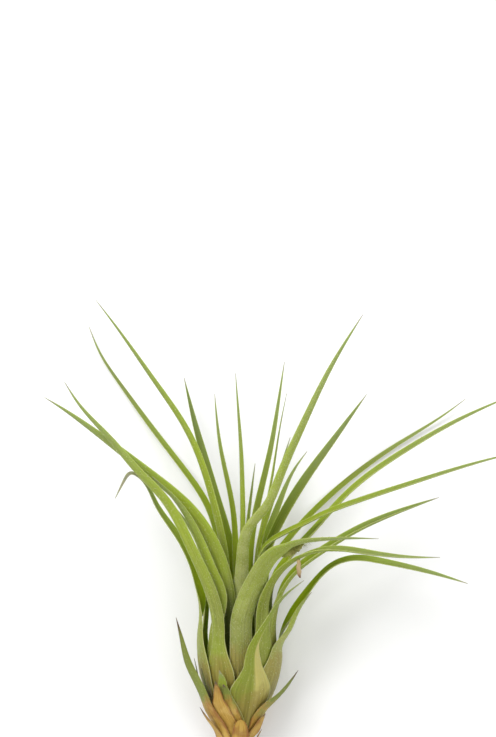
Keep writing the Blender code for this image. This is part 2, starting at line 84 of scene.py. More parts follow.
# Half the angle that a free blade is folded through, and half the width of a tip
BLADE_FOLD = 44.0
SCALE_FOLD = 16.0
TIP_HALF_WIDTH = 0.1

# A sheath's section loosens into its blade's from this far before it parts to this far after
LOOSE_BEFORE = 4.0
LOOSE_AFTER = 18.0

# Shares of the sheath over which it narrows to its neck, and of the free blade over which it comes
# to its own width and turns to its own facing
NARROWS_FROM = 0.62
NARROWS_TO = 1.15
BLADE_FROM = 0.35
TURN_SHARE = 0.6

# A blade is rolled about its own line over this length past its parting. Where it is kinked it
# narrows to this share of its width, over this share of its length
ROLL_RUN = 26.0
PAST_KINK = 0.62
KINK_SHARE = 0.05

# The widest half section, as a share of its distance from the plant's axis
WIDEST_WRAP = 0.7

# The plant's outline below its neck: height, then radius to the middle of the outermost sheath
BULB_OUTLINE = ((-9, 4.6), (0, 6.2), (8, 9.8), (17, 14.7), (26, 18.2), (35, 19.9), (44, 20.3), (56, 20.2),
                (90, 19.6))

# The stem inside, from its dry cut end to its growing point: height, then radius
STEM_OUTLINE = ((-8, 3.7), (-6.5, 4.1), (-3, 4.5), (1, 5.3), (8, 6.9), (16, 6.9), (22, 5.0), (26, 2.6))
STEM_TOP = 27.4
STEM_SIDES = 48

# The least height at which a leaf is rooted, and the steps in which its foot is looked for
LEAF_FOOT = 5.0
FOOT_STEP = 0.25

# Where the innermost scales start on the stem, how much lower each layer starts, and the height
# over which a scale swings out to its layer
SCALE_FOOT = 0.2
SCALE_FOOT_STEP = 1.9
SCALE_SWING = 5.0

# The eye in front of the standing plant: how far off, how far across and how high. The photograph's
# longer side spans VIEW_SPAN at the plant's axis, the film is as long as FILM, and the camera sees
# nothing nearer or farther than SIGHT_CLIP, in metres
SIGHT_DISTANCE = 1200.0
SIGHT_ACROSS = 3.6
SIGHT_UP = 166.0
VIEW_SPAN = 331.65
FILM = 36.0
SIGHT_CLIP = (0.01, 20.0)

# How far inside the bulb's outline a leaf starts to take the painted shade of the rosette's middle,
# and takes all of it, and the heights over which that painted shade fades
SUNK_FROM = 3.0
SUNK_TO = 9.0
SUNK_FADE = (52, 78)

# How far below dry_to a base is still all dry, and how far above it the last of that is gone. A tip
# withers from this many times its share before the blade's end to this many
DRY_BELOW = 14
DRY_ABOVE = 8
WITHERS_FROM = 2.0
WITHERS_TO = 0.4

# Where a pale flank begins across the leaf, and over which shares of the blade the painted light in a
# channel fades and the painted shade on a blade comes on
FLANK_EDGE = (-0.02, 0.12)
CHANNEL_LIGHT_FADE = (0.16, 0.4)
BLADE_SHADE_RISE = (0.05, 0.4)

# No hair is rooted lower than this above the floor. Each has this many sides, and from the first of
# these shares to the second of its kind's size
HAIRLESS_HEIGHT = 1.2
HAIR_SIDES = 3
HAIR_SHARES = (0.6, 1.3)

# Hairs thin out over these shares of the blade. Those of the margin stand beyond this share of the
# half width, and scurf is thinner by these shares where a leaf is dry and where it is sunk
HAIRS_END = (0.8, 0.9)
MARGIN_FROM = 0.93
DRY_BARE = 0.8
SUNK_BARE = 0.7

# Where the kinked leaf's margin is fuzzy: on its blade, by shares of it, and on its neck, by height.
# The fuzz thickens between the first two and thins between the last two
KINK_FUZZ = (0.47, 0.53, 0.58, 0.64)
NECK_FUZZ = (37, 40, 44, 47)
NECK_FUZZ_SHARE = 0.5

# The hairs: name, what they are strewn as, how many on a square millimetre, length, radius at the
# root, how far they lean towards the leaf's tip, seed and skin
HAIRS = (
    ("silver_scurf", "scurf", 1.4, 0.45, 0.09, 0.8, 3, "scurf"),
    ("margin_fringe", "fringe", 5.0, 0.5, 0.05, 0.6, 5, "scurf"),
    ("kink_tuft", "tuft", 90.0, 2.4, 0.08, 0.3, 7, "tuft"),
)

# What the nodes that strew the hairs are given, and of what kind each is
HAIR_SOCKETS = {"Geometry": "Geometry", "Density": "Float", "Length": "Float", "Width": "Float",
                "Lean": "Float", "Seed": "Int", "Skin": "Material"}

# The withered shred: its line as seen from the front, half its width, its thickness, the turn of
# its end, how far it is curled, and how many sections it has
SHRED_PATH = ((26.6, 80.8, 28.2), (26.4, 78.2, 29.4), (26.5, 75.0, 29.2), (27.0, 71.8, 28.4))
SHRED_HALF = 1.05
SHRED_THICKNESS = 0.3
SHRED_TWIST = 35.0
SHRED_CURL = 0.35
SHRED_STATIONS = 24

# Half the shred's width on its left and on its right, as shares of its widest, at shares of its length
SHRED_KNOTS = (0.0, 0.2, 0.35, 0.5, 0.7, 0.85, 1.0)
SHRED_LEFT = (0.4, 0.9, 0.6, 1.1, 0.8, 1.0, 0.25)
SHRED_RIGHT = (0.5, 0.6, 1.0, 0.75, 1.15, 0.6, 0.35)

# Over which shares of its length the shred is dry, and withered
SHRED_DRIES = (0.0, 0.3)
SHRED_WITHERS = (0.7, 1.0)

# The torn flap under the front blade's kink: the shares of the blade that it runs between, how far it
# hangs, how much of that is ragged, how far it is crumpled, its thickness, and how many sections it
# has. It hangs on from the margin in line with the blade's point that is this many in from its edge
TEAR_FROM = 0.42
TEAR_TO = 0.6
TEAR_REACH = 4.6
TEAR_RAGGED = 0.5
TEAR_CRUMPLE = 0.5
TEAR_THICKNESS = 0.25
TEAR_STATIONS = 48
TEAR_SEED = 11
TEAR_INSET = 3

# How many points cross the shred and the flap, the numbers that their grain goes by, which no leaf
# has, and how far the grain runs along each
FLAP_POINTS = 5
SHRED_NUMBER = 60.0
TEAR_NUMBER = 61.0
SHRED_GRAIN = 10
TEAR_GRAIN = 30

# The shortest span that a smooth rise is worked out over
LEAST_RISE = 1e-9

# How far the picture is opened up, in stops, and how bright the white room round the plant is
EXPOSURE = 0.18
ROOM_LIGHT = 0.7

# The lamps: name, place, width and power, and where both aim, in metres. Half the floor's width
LAMPS = (("soft_key", (-0.8, 0.7, 1.5), 0.9, 16.0), ("soft_fill", (1.0, -0.3, 1.3), 1.3, 5.0))
LAMP_AIM = (0.0, 0.0, 0.03)
FLOOR_HALF = 12.0
FLOOR_WHITE = (0.9, 0.9, 0.9, 1)
FLOOR_ROUGHNESS = 0.9

# The plant lies on its back with its crown tipped up this far
CROWN_TILT = math.radians(15)
LYING_UP = np.array([0.0, -math.cos(CROWN_TILT), math.sin(CROWN_TILT)])
LYING_CROWN = np.array([0.0, math.sin(CROWN_TILT), math.cos(CROWN_TILT)])


class Leaf:
    """One leaf: a sheath on its own azimuth round the bulb, then a blade through its own points.

    azimuth is where it is rooted, in degrees from the front towards the right, and spread is half
    the angle that its sheath wraps. It follows the bulb up to parts_at, where its half width is
    neck, and then runs through path, points of (across, up, towards the eye) as seen from the
    front. blade is half the width of its free part, and its channel opens away from facing, then
    rolls towards the eye by roll degrees. keel is how far its section is a crease and not a
    curve, and kink the share of the blade at which it is pinched, if it is. sweep is how far its
    root swings round the bulb on its way up, fold half the angle of its free blade's channel, and
    its tip is slimmer the lower blunt is and the higher dome. A leaf that clings stays concentric
    with the bulb to its tip. bloom is how silvery its back is, dry_to the height up to which its
    base has dried, and withered the share of its blade that has. heart_shade is how far it takes
    the painted shade of the rosette's middle, flank how pale its back is right of its keel,
    channel_light how far painted light brightens its channel, blade_shade how far painted shade
    darkens its free blade, and trim the share of its solid's width that the free blade has. depth
    is how far inside the bulb's outline its sheath lies, least_depth the least that this may be,
    and foot the height that it is rooted at.
    """

    skin = "sage"
    slot = None
    sweep = 0.0
    fold = BLADE_FOLD
    blunt = 2.6
    dome = 1.0
    thickness = BLADE_THICKNESS
    pitch = STATION_PITCH
    clings = False
    roll = 0.0
    keel = 0.0
    kink = None
    bloom = 0.6
    dry_to = 35.0
    withered = 0.03
    heart_shade = 1.0
    flank = 0.0
    channel_light = 0.0
    blade_shade = 0.0
    trim = 1.0
    depth = 0.0
    least_depth = 0.0
    foot = 0.0

    def __init__(self, name, azimuth, spread, parts_at, neck, blade, facing, path, **others):
        self.name = name
        self.azimuth = azimuth
        self.spread = spread
        self.parts_at = parts_at
        self.neck = neck
        self.blade = blade
        self.facing = facing
        self.path = path
        for label, value in others.items():
            setattr(self, label, value)


class Scale(Leaf):
    """A dry scale: a short leaf that lies flat on the bulb, in a layer counted outwards from it."""

    skin = "tan"
    fold = SCALE_FOLD
    blunt = 2.2
    thickness = SCALE_THICKNESS
    pitch = SCALE_PITCH
    clings = True
    bloom = 0.1
    dry_to = 200.0
    withered = 0.12

    def __init__(self, name, layer, azimuth, spread, parts_at, neck, blade, path, facing=None, **others):
        facing = azimuth if facing is None else facing
        super().__init__(name, azimuth, spread, parts_at, neck, blade, facing, path, **others)
        self.depth = -SCALE_STEP * layer
        self.foot = SCALE_FOOT - SCALE_FOOT_STEP * (layer - 1)


# The leaves, from the outermost and oldest to the innermost
LEAVES = (
    Leaf("leaf_01", 18, 35, 31, 4.4, 2.6, 62, fold=56, keel=0.8, roll=6, skin="green", bloom=0.25,
         dry_to=25, flank=1,
         path=((6.6, 39.2, 21.5), (12.4, 51, 24), (18.8, 61.7, 27), (28.8, 70.6, 31))),
    Leaf("leaf_02", 180, 25, 38, 4, 2.4, 180, thickness=BEARING_THICKNESS,
         path=((1.5, 56, -22.5), (2.5, 72, -26.5), (4, 85, -29.5))),
    Leaf("leaf_03", -76, 29, 46, 4.2, 3.2, -58, blunt=1.9, least_depth=1.2, roll=58, withered=0.15,
         channel_light=0.5, dry_to=40,
         path=((-18, 60, 5), (-20.2, 72.5, 5.6), (-28.2, 90, 6), (-38.4, 105.5, 6.2),
               (-46.4, 117.8, 6.4), (-49.2, 118.8, 6.6), (-52.2, 115.4, 7), (-56.2, 107.5, 8))),
    Leaf("leaf_04", 68, 38, 41, 4.8, 3, 66, sweep=12, fold=50, blunt=2.2, dry_to=44, bloom=1.3,
         withered=0.08,
         path=((22.4, 48, 7.4), (25.1, 54, 8.6), (28.2, 59.9, 9.8), (32.3, 65.4, 11))),
    Leaf("leaf_05", -148, 24, 42, 3.6, 2.2, -158,
         path=((-8.5, 58, -19.5), (-9.5, 73, -24), (-9.5, 86, -27.5))),
    Leaf("leaf_06", -33, 25, 41, 3.2, 3.2, -48, bloom=0.4, dry_to=40, blunt=3.2, roll=-16, trim=0.85,
         path=((-11.2, 57, 17.8), (-15.4, 70, 19.4), (-22.8, 86, 19.5), (-33.4, 105.6, 17.5),
               (-46.4, 119.8, 13.5), (-59.4, 135, 9.5), (-72.7, 150, 5.5), (-79, 160, 2.5))),
    Leaf("leaf_07", 88, 22, 43, 4, 2.4, 62, fold=58, keel=0.5, roll=42, blunt=4.2, channel_light=1, trim=0.82,
         path=((23.4, 54, 2), (33.2, 68.5, 4.5), (43.2, 77.8, 6), (50, 80, 6.6),
               (64, 78.8, 8), (83, 74.7, 9), (102.5, 69.2, 10))),
    Leaf("leaf_08", 128, 24, 44, 3.6, 2.2, 140,
         path=((11, 60, -15), (12.5, 75, -20.5), (13, 86, -24.5))),
    Leaf("leaf_09", -108, 22, 44, 3.4, 2.2, -112,
         path=((-15.8, 70, -6.5), (-18.9, 86, -10), (-25.2, 97.5, -15), (-32.4, 106.7, -20),
               (-38, 114, -25))),
    Leaf("leaf_10", 36, 22, 46, 3.8, 3.1, 44, fold=50, roll=16, blunt=3.6, skin="green", bloom=0.4,
         path=((11.6, 60, 17.5), (17.2, 72.4, 22), (26.2, 80.2, 27), (38.5, 84, 31.5),
               (59.6, 82.3, 37), (78.9, 80.8, 40.5), (90, 81, 42))),
    Leaf("leaf_11", -40, 22, 50, 3.2, 2.6, -46, roll=-16, blunt=3, bloom=0.35,
         path=((-9, 64, 14.2), (-12.6, 74.3, 14.8), (-17.6, 86.4, 14.3), (-28, 105.3, 12.4),
               (-39.6, 117.4, 10.5))),
    Leaf("leaf_12", 63, 22, 46, 3.6, 3.3, 56, fold=56, roll=32, blunt=3.6, dry_to=48, blade_shade=0.2, trim=1.18,
         path=((16.6, 57, 9.3), (21.8, 69.6, 11), (29, 77.2, 12.4), (37.4, 83.2, 13.5),
               (53.2, 92.8, 14), (72.6, 101.5, 13), (89.6, 108, 12))),
    Leaf("leaf_13", -136, 20, 50, 2.8, 2.4, -148, least_depth=6, blunt=3, trim=0.86, channel_light=0.4,
         path=((-9, 75, -13), (-11, 93, -19), (-16.6, 107.2, -26.5), (-23.6, 117.7, -32.6),
               (-37.8, 136.4, -43.8), (-54.7, 159.8, -53.2), (-63, 172.8, -55.9), (-68, 185, -58.5))),
    Leaf("leaf_14", 2, 19, 52, 4.8, 3.6, 36, fold=40, blunt=4, kink=0.5, roll=-22, bloom=1.05,
         dry_to=46, trim=1.08,
         path=((2.4, 59.5, 17.5), (6.6, 69.3, 22), (12.2, 78.7, 31), (19, 84.2, 41),
               (26.5, 87.4, 50), (33.8, 88.5, 56.5), (50.4, 89.4, 65.5), (62.4, 89.4, 70.5))),
    Leaf("leaf_15", 148, 20, 50, 2.7, 2.1, 158, least_depth=5, blunt=3, trim=0.88, channel_light=0.4,
         path=((9, 67, -13.5), (18, 84, -21.5), (33.3, 101.6, -34.1), (47.5, 114.6, -40.8),
               (69.2, 130.6, -44.3), (92, 145.2, -46.5), (101.5, 152.3, -47))),
    Leaf("leaf_16", 68, 22, 50, 3.3, 3.4, 62, least_depth=4.5, roll=42, blunt=4, bloom=0.35, trim=0.78,
         path=((15.8, 70.7, 6.2), (25.4, 84.2, 5.5), (34.6, 94.2, 4), (49.4, 110.2, 1),
               (73.2, 127.9, -2.5), (102.2, 144.5, -5), (123.8, 154.4, -6.5))),
    Leaf("leaf_17", 116, 20, 54, 2.9, 3.1, 142, least_depth=7, blunt=3.2, skin="green", bloom=0.3,
         blade_shade=0.2, trim=1.06, channel_light=0.4,
         path=((12, 80, -6.6), (16.6, 92.7, -9), (22.8, 104.6, -12), (28.4, 113.8, -14.4),
               (41.2, 132, -19), (57, 154.4, -25))),
    Leaf("leaf_18", -26, 20, 52, 3.6, 3.4, -50, least_depth=8.5, roll=-14, blunt=3.6, bloom=0.3,
         path=((-6.4, 66, 11.2), (-9.8, 79.7, 11.4), (-22, 101, 9.5), (-41.2, 118.2, 6),
               (-65, 136.8, 0), (-81.2, 148.6, -4), (-88, 153, -6))),
    Leaf("leaf_19", 150, 16, 54, 2.6, 2.6, 158, least_depth=7, blunt=1.9, channel_light=0.4,
         path=((7.2, 70.7, -13), (11.2, 86.4, -18), (18, 105.8, -25.5), (24.8, 121, -31.5),
               (30.2, 128.7, -34.5))),
    # Its bloom is set high partly as painted light, lightening the neck that the leaves round it shade
    Leaf("leaf_20", 0, 22, 56, 3.3, 2.35, 14, fold=36, blunt=2.8, least_depth=10.5, bloom=1.9, heart_shade=0,
         trim=0.92,
         path=((0.5, 70, 9.8), (1.2, 82, 11.2), (3.2, 92.6, 13.2), (12, 104, 15.4),
               (17.4, 115.7, 16.5), (28.5, 141, 17), (40.6, 166, 15.5), (55.4, 190.4, 13))),
    Leaf("leaf_21", 154, 18, 58, 2.3, 2.1, 168, least_depth=10, skin="green", bloom=0.3, trim=0.82,
         channel_light=0.4,
         path=((4.4, 79.7, -11), (7.8, 103.5, -16.5), (13.4, 127.8, -26.5), (17.9, 154.6, -38),
               (20, 169, -44.5))),
    Leaf("leaf_22", -152, 18, 58, 2.7, 2.3, -168, least_depth=10.5, blade_shade=0.35, trim=1.15, channel_light=0.4,
         path=((-4.4, 79.7, -10), (-10.2, 104.4, -17), (-16.6, 127.4, -28), (-20, 140, -34.5),
               (-25.2, 162, -45))),
    Leaf("leaf_23", 62, 18, 60, 2.4, 2.9, 58, least_depth=11, roll=32, blunt=4.2, bloom=0.35, trim=0.85,
         path=((8, 76, 5), (11.4, 85.4, 6), (18.6, 90.8, 7.2), (29.7, 96.2, 8.5), (36.9, 99.8, 9.2),
               (49.4, 104.7, 10), (79, 114.6, 10), (115, 125.7, 9), (126, 128.5, 8.5))),
    Leaf("leaf_24", -66, 20, 60, 2.7, 2.5, -62, least_depth=12.5, roll=-24, blunt=3.2, bloom=0.25, trim=0.8,
         path=((-7.4, 79.7, 3), (-12.7, 106.9, 1), (-23, 135.9, -2.5), (-37.7, 158.8, -7),
               (-56.4, 185.5, -13), (-64.8, 196.7, -16))),
    Leaf("leaf_25", 118, 16, 62, 1.9, 2.2, 130, least_depth=11, channel_light=0.4,
         path=((9.6, 88.7, -5), (14.9, 106.7, -6.5), (19.9, 125.6, -8.5), (22.6, 135, -9.5))),
    Leaf("leaf_26", 88, 18, 60, 2.1, 1.7, 76, least_depth=12.5, bloom=0.25,
         path=((7.4, 79.7, 0.2), (10.6, 97.7, 0.4), (14, 113.4, 0), (18, 139, -2),
               (21, 154.8, -3))),
    Leaf("leaf_27", -174, 18, 62, 2, 1.5, -176, least_depth=12.5, trim=0.9, channel_light=0.4,
         path=((-1.8, 82, -8), (-3, 100.8, -11.5), (-8.3, 127.8, -20), (-10.1, 140, -26),
               (-11.4, 154.6, -34))),
    Leaf("leaf_28", -30, 18, 62, 1.8, 1.5, -20, least_depth=15, bloom=0.25, trim=0.88,
         path=((0, 79.7, 3.6), (1.1, 99, 2.6), (0.9, 113.4, 1), (0.3, 130.5, -1),
               (-0.7, 145, -3), (-2, 163.8, -6))),
    Leaf("leaf_29", 146, 14, 64, 1.2, 1.1, 150, least_depth=15, withered=0.06, channel_light=0.4,
         path=((2.6, 84, -4.5), (4, 99.9, -5.5), (6.8, 123.3, -7.5))),
)

# The dry scales, the remains of older leaves low on the bulb, with the layer that each lies in
SCALES = (
    Scale("scale_01", 1, -26, 18, 22, 3.6, 2.4, sweep=-28, skin="sage", bloom=0.5, dry_to=22,
          path=((-8, 25.5, 17.6), (-9.4, 30.2, 19.4))),
    Scale("scale_02", 1, 44, 18, 9, 3.6, 3.2, sweep=4, facing=60, clings=False, dry_to=17,
          path=((10.8, 12.8, 10.6), (15.9, 17.2, 10.2), (20.8, 22.4, 8.6), (26.2, 30.2, 6))),
    Scale("scale_03", 4, -58, 24, 14, 4.4, 3, sweep=-16, facing=-34, blunt=1.6, clings=False, dry_to=20,
          path=((-16.9, 19.5, 11.4), (-19.4, 25, 10.6), (-23.4, 33.5, 8.6), (-25.9, 42.5, 7),
                (-28.8, 54, 6))),
    Scale("scale_04", 1.3, -53, 7, 22, 1.6, 1, sweep=-2, skin="dead", slot="bark", dry_to=26,
          path=((-16.4, 27.4, 12.2), (-17.4, 31.2, 13))),
    Scale("scale_05", 1, 138, 18, 14, 3, 1.8, path=((11.4, 20.5, -13.2), (13, 26, -15.2))),
    Scale("scale_06", 1, -136, 18, 12, 3, 1.8, path=((-11.2, 18.5, -11.6), (-13, 24, -13.2))),
    Scale("scale_07", 2, -20, 17, 16, 3.8, 2.6, sweep=-24, dry_to=21,
          path=((-6.2, 20, 18), (-7.6, 24, 19.6))),
    Scale("scale_08", 1.3, -76, 7, 22, 1.6, 1, sweep=-2, skin="dead", slot="bark", dry_to=26,
          path=((-19.4, 30, 5.4), (-20.6, 35.6, 5.8))),
    Scale("scale_09", 1, 178, 16, 5, 2.8, 1.6, path=((0.2, 9, -11), (0.2, 13, -12.8))),
    Scale("scale_10", 3, -32, 18, 16, 4, 2.8, sweep=-24,
          path=((-10.2, 20.5, 17.4), (-11, 25.2, 19.2))),
    Scale("scale_11", 2, 46, 19, 3, 3.4, 2.8, sweep=2, path=((8.8, 6.4, 8.8), (11.4, 10.8, 9.6))),
    Scale("scale_12", 3, 76, 14, -1, 2.4, 1.4, path=((8.4, 1.2, 2.6), (9.8, 3.6, 2.8))),
    Scale("scale_13", 5, -58, 19, 2, 3, 2.2, sweep=-6, slot="bark", withered=0.3,
          path=((-12.4, 5.4, 7.8), (-15, 8.8, 8), (-18, 13.6, 8.2))),
    Scale("scale_14", 5, 1, 21, 0, 3.9, 3.8, blunt=2.6, dome=0.5, withered=0,
          path=((0.2, 3.6, 13.4), (0.3, 8, 15))),
)


class Curve:
    """A natural cubic spline through points given at rising parameters."""

    def __init__(self, parameters, points):
        self.knots = np.array(parameters, float)
        self.points = np.array(points, float)
        self.steps = np.diff(self.knots)
        count = len(self.knots)
        matrix = np.eye(count)
        right = np.zeros_like(self.points)
        for i in range(1, count - 1):
            before = self.steps[i - 1]
            after = self.steps[i]
            matrix[i, i - 1:i + 2] = before, 2 * (before + after), after
            rise = (self.points[i + 1] - self.points[i]) / after
            right[i] = 6 * (rise - (self.points[i] - self.points[i - 1]) / before)
        self.bends = np.linalg.solve(matrix, right)

    def at(self, parameters):
        values = np.asarray(parameters, float)
        span = np.clip(np.searchsorted(self.knots, values) - 1, 0, len(self.steps) - 1)
        step = self.steps[span]
        back = (self.knots[span + 1] - values) / step
        ahead = 1 - back
        if self.points.ndim > 1:
            step, back, ahead = step[..., None], back[..., None], ahead[..., None]
        lower = self.bends[span]
        upper = self.bends[span + 1]
        line = back * self.points[span] + ahead * self.points[span + 1]
        return line + ((back ** 3 - back) * lower + (ahead ** 3 - ahead) * upper) * step ** 2 / 6


def ease(value, start, end):
    """0 before start, 1 after end, and a smooth rise between them."""
    share = np.clip((value - start) / max(end - start, LEAST_RISE), 0, 1)
    return share * share * (3 - 2 * share)


def band(value, rises, full, thins, gone):
    """1 from full to thins, 0 before rises and after gone, and smooth between them."""
    return ease(value, rises, full) * (1 - ease(value, thins, gone))


def read_off(at, run, points):
    """The points of a line, or its headings, at other distances along it."""
    return np.stack([np.interp(at, run, values) for values in points.T], axis=1)


def round_ring(outer, inner):
    """Rows across an outer face, and then back across the inner one."""
    return np.concatenate([outer, inner[:, ::-1]], axis=1)


def unit(vectors):
    return vectors / np.linalg.norm(vectors, axis=-1, keepdims=True)


BULB = Curve(*zip(*BULB_OUTLINE))


def stem_radius(height):
    heights, radii = zip(*STEM_OUTLINE)
    return np.interp(height, heights, radii)


def seen(across, up, toward):
    """The place of a point that the eye in front sees at (across, up), this far towards it."""
    shrink = (SIGHT_DISTANCE - toward) / SIGHT_DISTANCE
    return (SIGHT_ACROSS + (across - SIGHT_ACROSS) * shrink, -toward, SIGHT_UP + (up - SIGHT_UP) * shrink)


def turned(azimuth, radius, height):
    """A point on an azimuth in degrees, from the front towards the right."""
    angle = math.radians(azimuth)
    return (radius * math.sin(angle), -radius * math.cos(angle), height)


def reach(leaf):
    """The middle of the arc that a sheath covers on its way up, and half of that arc."""
    return leaf.azimuth - leaf.sweep / 2, leaf.spread + abs(leaf.sweep) / 2


def nest(leaves):
    """Gives each leaf the first layer that clears every earlier leaf that its sheath overlaps.

    It is rooted at the first height at which that layer clears the stem.
    """
    heights = np.arange(LEAF_FOOT, STEM_TOP, FOOT_STEP)
    for order, leaf in enumerate(leaves):
        middle, half = reach(leaf)
        swell = (leaf.thickness - BLADE_THICKNESS) / 2
        leaf.depth = leaf.least_depth + swell
        for other in leaves[:order]:
            other_middle, other_half = reach(other)
            apart = abs((middle - other_middle + 180) % 360 - 180)
            if apart < half + other_half + SIDE_GAP:
                step = LAYER_STEP + swell + (other.thickness - BLADE_THICKNESS) / 2
                leaf.depth = max(leaf.depth, other.depth + step)
        clear = BULB.at(heights) - leaf.depth > stem_clearance(leaf, heights)
        leaf.foot = heights[np.argmax(clear)]


def stem_clearance(leaf, height):
    """The least radius at which the middle of a leaf passes the stem."""
    return stem_radius(height) + FOOT_GAP + leaf.thickness / 2


def sheath_radius(leaf, height):
    """How far a sheath's middle stands from the plant's axis: scales swing out from their foot."""
    outer = BULB.at(height) - leaf.depth
    if leaf.depth >= 0:
        return outer
    root = stem_clearance(leaf, height)
    return root + (outer - root) * ease(height, leaf.foot, leaf.foot + SCALE_SWING)


def root_azimuth(leaf, height):
    """The azimuth of a sheath's middle, which sweeps round the bulb on its way up."""
    return leaf.azimuth - leaf.sweep * (1 - ease(height, leaf.foot, leaf.parts_at))


def middle_line(leaf):
    """A leaf's middle line as close points, the distance run at each, and at the leaf's parting."""
    steps = max(LEAST_SPANS, math.ceil((leaf.parts_at - leaf.foot) / SHEATH_KNOTS)) + 1
    heights = np.linspace(leaf.foot, leaf.parts_at, steps)
    rooted = zip(root_azimuth(leaf, heights), sheath_radius(leaf, heights), heights)
    knots = np.array([turned(*point) for point in rooted] + [seen(*point) for point in leaf.path])
    chords = np.concatenate([[0], np.cumsum(np.linalg.norm(np.diff(knots, axis=0), axis=1))])
    fine = np.linspace(0, chords[-1], LINE_POINTS)
    line = Curve(chords, knots).at(fine)
    run = np.concatenate([[0], np.cumsum(np.linalg.norm(np.diff(line, axis=0), axis=1))])
    return line, run, np.interp(chords[steps - 1], fine, run)


def spread_stations(leaf, run, heading, parting):
    """Where along a leaf its sections go: closer together in its sheath and where it bends."""
    bend = np.linalg.norm(np.gradient(heading, run, axis=0), axis=1)
    sheathed = 1 - ease(run, parting, parting + LOOSE_AFTER)
    density = 1 / STATION_PITCH + bend / BEND_PER_STATION + sheathed / SHEATH_PITCH
    density *= STATION_PITCH / leaf.pitch
    total = np.concatenate([[0], np.cumsum((density[1:] + density[:-1]) / 2 * np.diff(run))])
    return np.interp(np.linspace(0, total[-1], math.ceil(total[-1]) + 1), total, run)


def half_widths(leaf, stations, parting, length, radius):
    """Half the width of a leaf: its wrap round the bulb, then its neck, its blade and its tip."""
    wrap = radius * math.sin(math.radians(leaf.spread))
    half = wrap + (leaf.neck - wrap) * ease(stations, NARROWS_FROM * parting, NARROWS_TO * parting)
    end = np.clip((stations - parting) / (length - parting), 0, 1)
    half = half + (leaf.blade - leaf.neck) * ease(end, 0, BLADE_FROM)
    half = half * (1 - (1 - leaf.trim) * ease(end, 0, BLADE_FROM))
    if leaf.kink:
        half = half * (1 - (1 - PAST_KINK) * ease(end, leaf.kink - KINK_SHARE, leaf.kink + KINK_SHARE))
    return TIP_HALF_WIDTH + (half - TIP_HALF_WIDTH) * (1 - end ** leaf.blunt) ** leaf.dome


def leaf_sections(leaf):
    """The outer and the inner rows of points across a leaf, and what its skin reads at each."""
    line, run, parting = middle_line(leaf)
    heading = unit(np.gradient(line, run, axis=0))
    stations = spread_stations(leaf, run, heading, parting)
    place = read_off(stations, run, line)
    along = unit(read_off(stations, run, heading))

    loose = ease(stations, parting - LOOSE_BEFORE, parting + LOOSE_AFTER) * (not leaf.clings)
    turn = ease(stations, parting, parting + TURN_SHARE * (run[-1] - parting))
    rooted = root_azimuth(leaf, place[:, 2])
    facing = np.radians(rooted + turn * ((leaf.facing - rooted + 180) % 360 - 180))
    side = np.stack([np.cos(facing), np.sin(facing), np.zeros_like(facing)], axis=1)
    axis = unit((1 - loose)[:, None] * np.array([0.0, 0.0, 1.0]) + loose[:, None] * along)
    inward = unit(np.cross(axis, side))
    side = np.cross(inward, axis)
    roll = math.radians(leaf.roll) * ease(stations, parting, parting + ROLL_RUN)[:, None]
    roll = roll * (-1 if leaf.facing % 360 < 180 else 1)
    inward = inward * np.cos(roll) + side * np.sin(roll)
    side = np.cross(inward, axis)

    radius = np.hypot(place[:, 0], place[:, 1])
    half = half_widths(leaf, stations, parting, run[-1], radius)
    wrapped = np.arcsin(np.clip(half / radius, 0, WIDEST_WRAP))
    lean = wrapped + (math.radians(leaf.fold) - wrapped) * loose
    bow = (half / np.sin(lean))[:, None]
    crease = (leaf.keel * loose)[:, None]

    end = np.clip((stations - parting) / (run[-1] - parting), 0, 1)
    body = leaf.thickness * (1 - (1 - TIP_SHARE) * end ** 2)
    shares = np.sin(np.linspace(-math.pi / 2, math.pi / 2, POINTS_ACROSS))
    outer, inner = [], []
    for share in shares:
        angle = (lean * share)[:, None]
        slope = crease * np.tan(lean / 2)[:, None]
        rise = (1 - crease) * (1 - np.cos(angle)) + slope * np.abs(np.sin(angle))
        pitch = (1 - crease) * np.sin(angle) + slope * np.sign(angle) * np.cos(angle)
        middle = place + bow * (side * np.sin(angle) + inward * rise)
        wall = unit(inward * np.cos(angle) - side * pitch)
        thick = (body * (1 - (1 - MARGIN_SHARE) * abs(share) ** 3))[:, None]
        outer.append(middle - wall * thick / 2)
        inner.append(middle + wall * thick / 2)
    marks = {
        "along": np.repeat(stations[:, None], POINTS_ACROSS, axis=1),
        "across": np.repeat(shares[None, :], len(stations), axis=0),
        "blade": np.repeat(end[:, None], POINTS_ACROSS, axis=1),
        "up": np.repeat(place[:, 2][:, None], POINTS_ACROSS, axis=1),
    }
    return np.stack(outer, axis=1), np.stack(inner, axis=1), marks


def laid(points):
    """Standing points, turned onto the plant's back."""
    points = np.asarray(points, float)
    return np.stack([points[..., 0], points @ LYING_CROWN, points @ LYING_UP], axis=-1)


def bed():
    """How far the plant was moved after it was turned onto its back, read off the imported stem."""
    edges = [(0, side * radius, height) for height, radius in STEM_OUTLINE for side in (-1, 1)]
    low = laid(edges).min(axis=0)
    corner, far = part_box("stem")
    return np.array([(corner[0] + far[0]) / 2 / MM, corner[1] / MM - low[1], corner[2] / MM - low[2]])


def rested(points):
    """Standing points in their place on the floor, pressed flat where they would go below it."""
    points = laid(points) + BED
    points[..., 2] = np.maximum(points[..., 2], 0)
    return points * MM


BED = bed()


def put_in_scene(name, data):
    """A new object in the scene, with its data."""
    placed = bpy.data.objects.new(name, data)
    bpy.context.scene.collection.objects.link(placed)
    return placed


def new_mesh(name, points, faces, marks=()):
    """A mesh with the marks that are read at each of its points."""
    mesh = bpy.data.meshes.new(name)
    mesh.from_pydata([tuple(point) for point in points], [], faces)
    for mark, values in dict(marks).items():
        values = np.asarray(values, np.float32)
        mesh.attributes.new(mark, "FLOAT", "POINT").data.foreach_set("value", values)
    mesh.update()
    return mesh


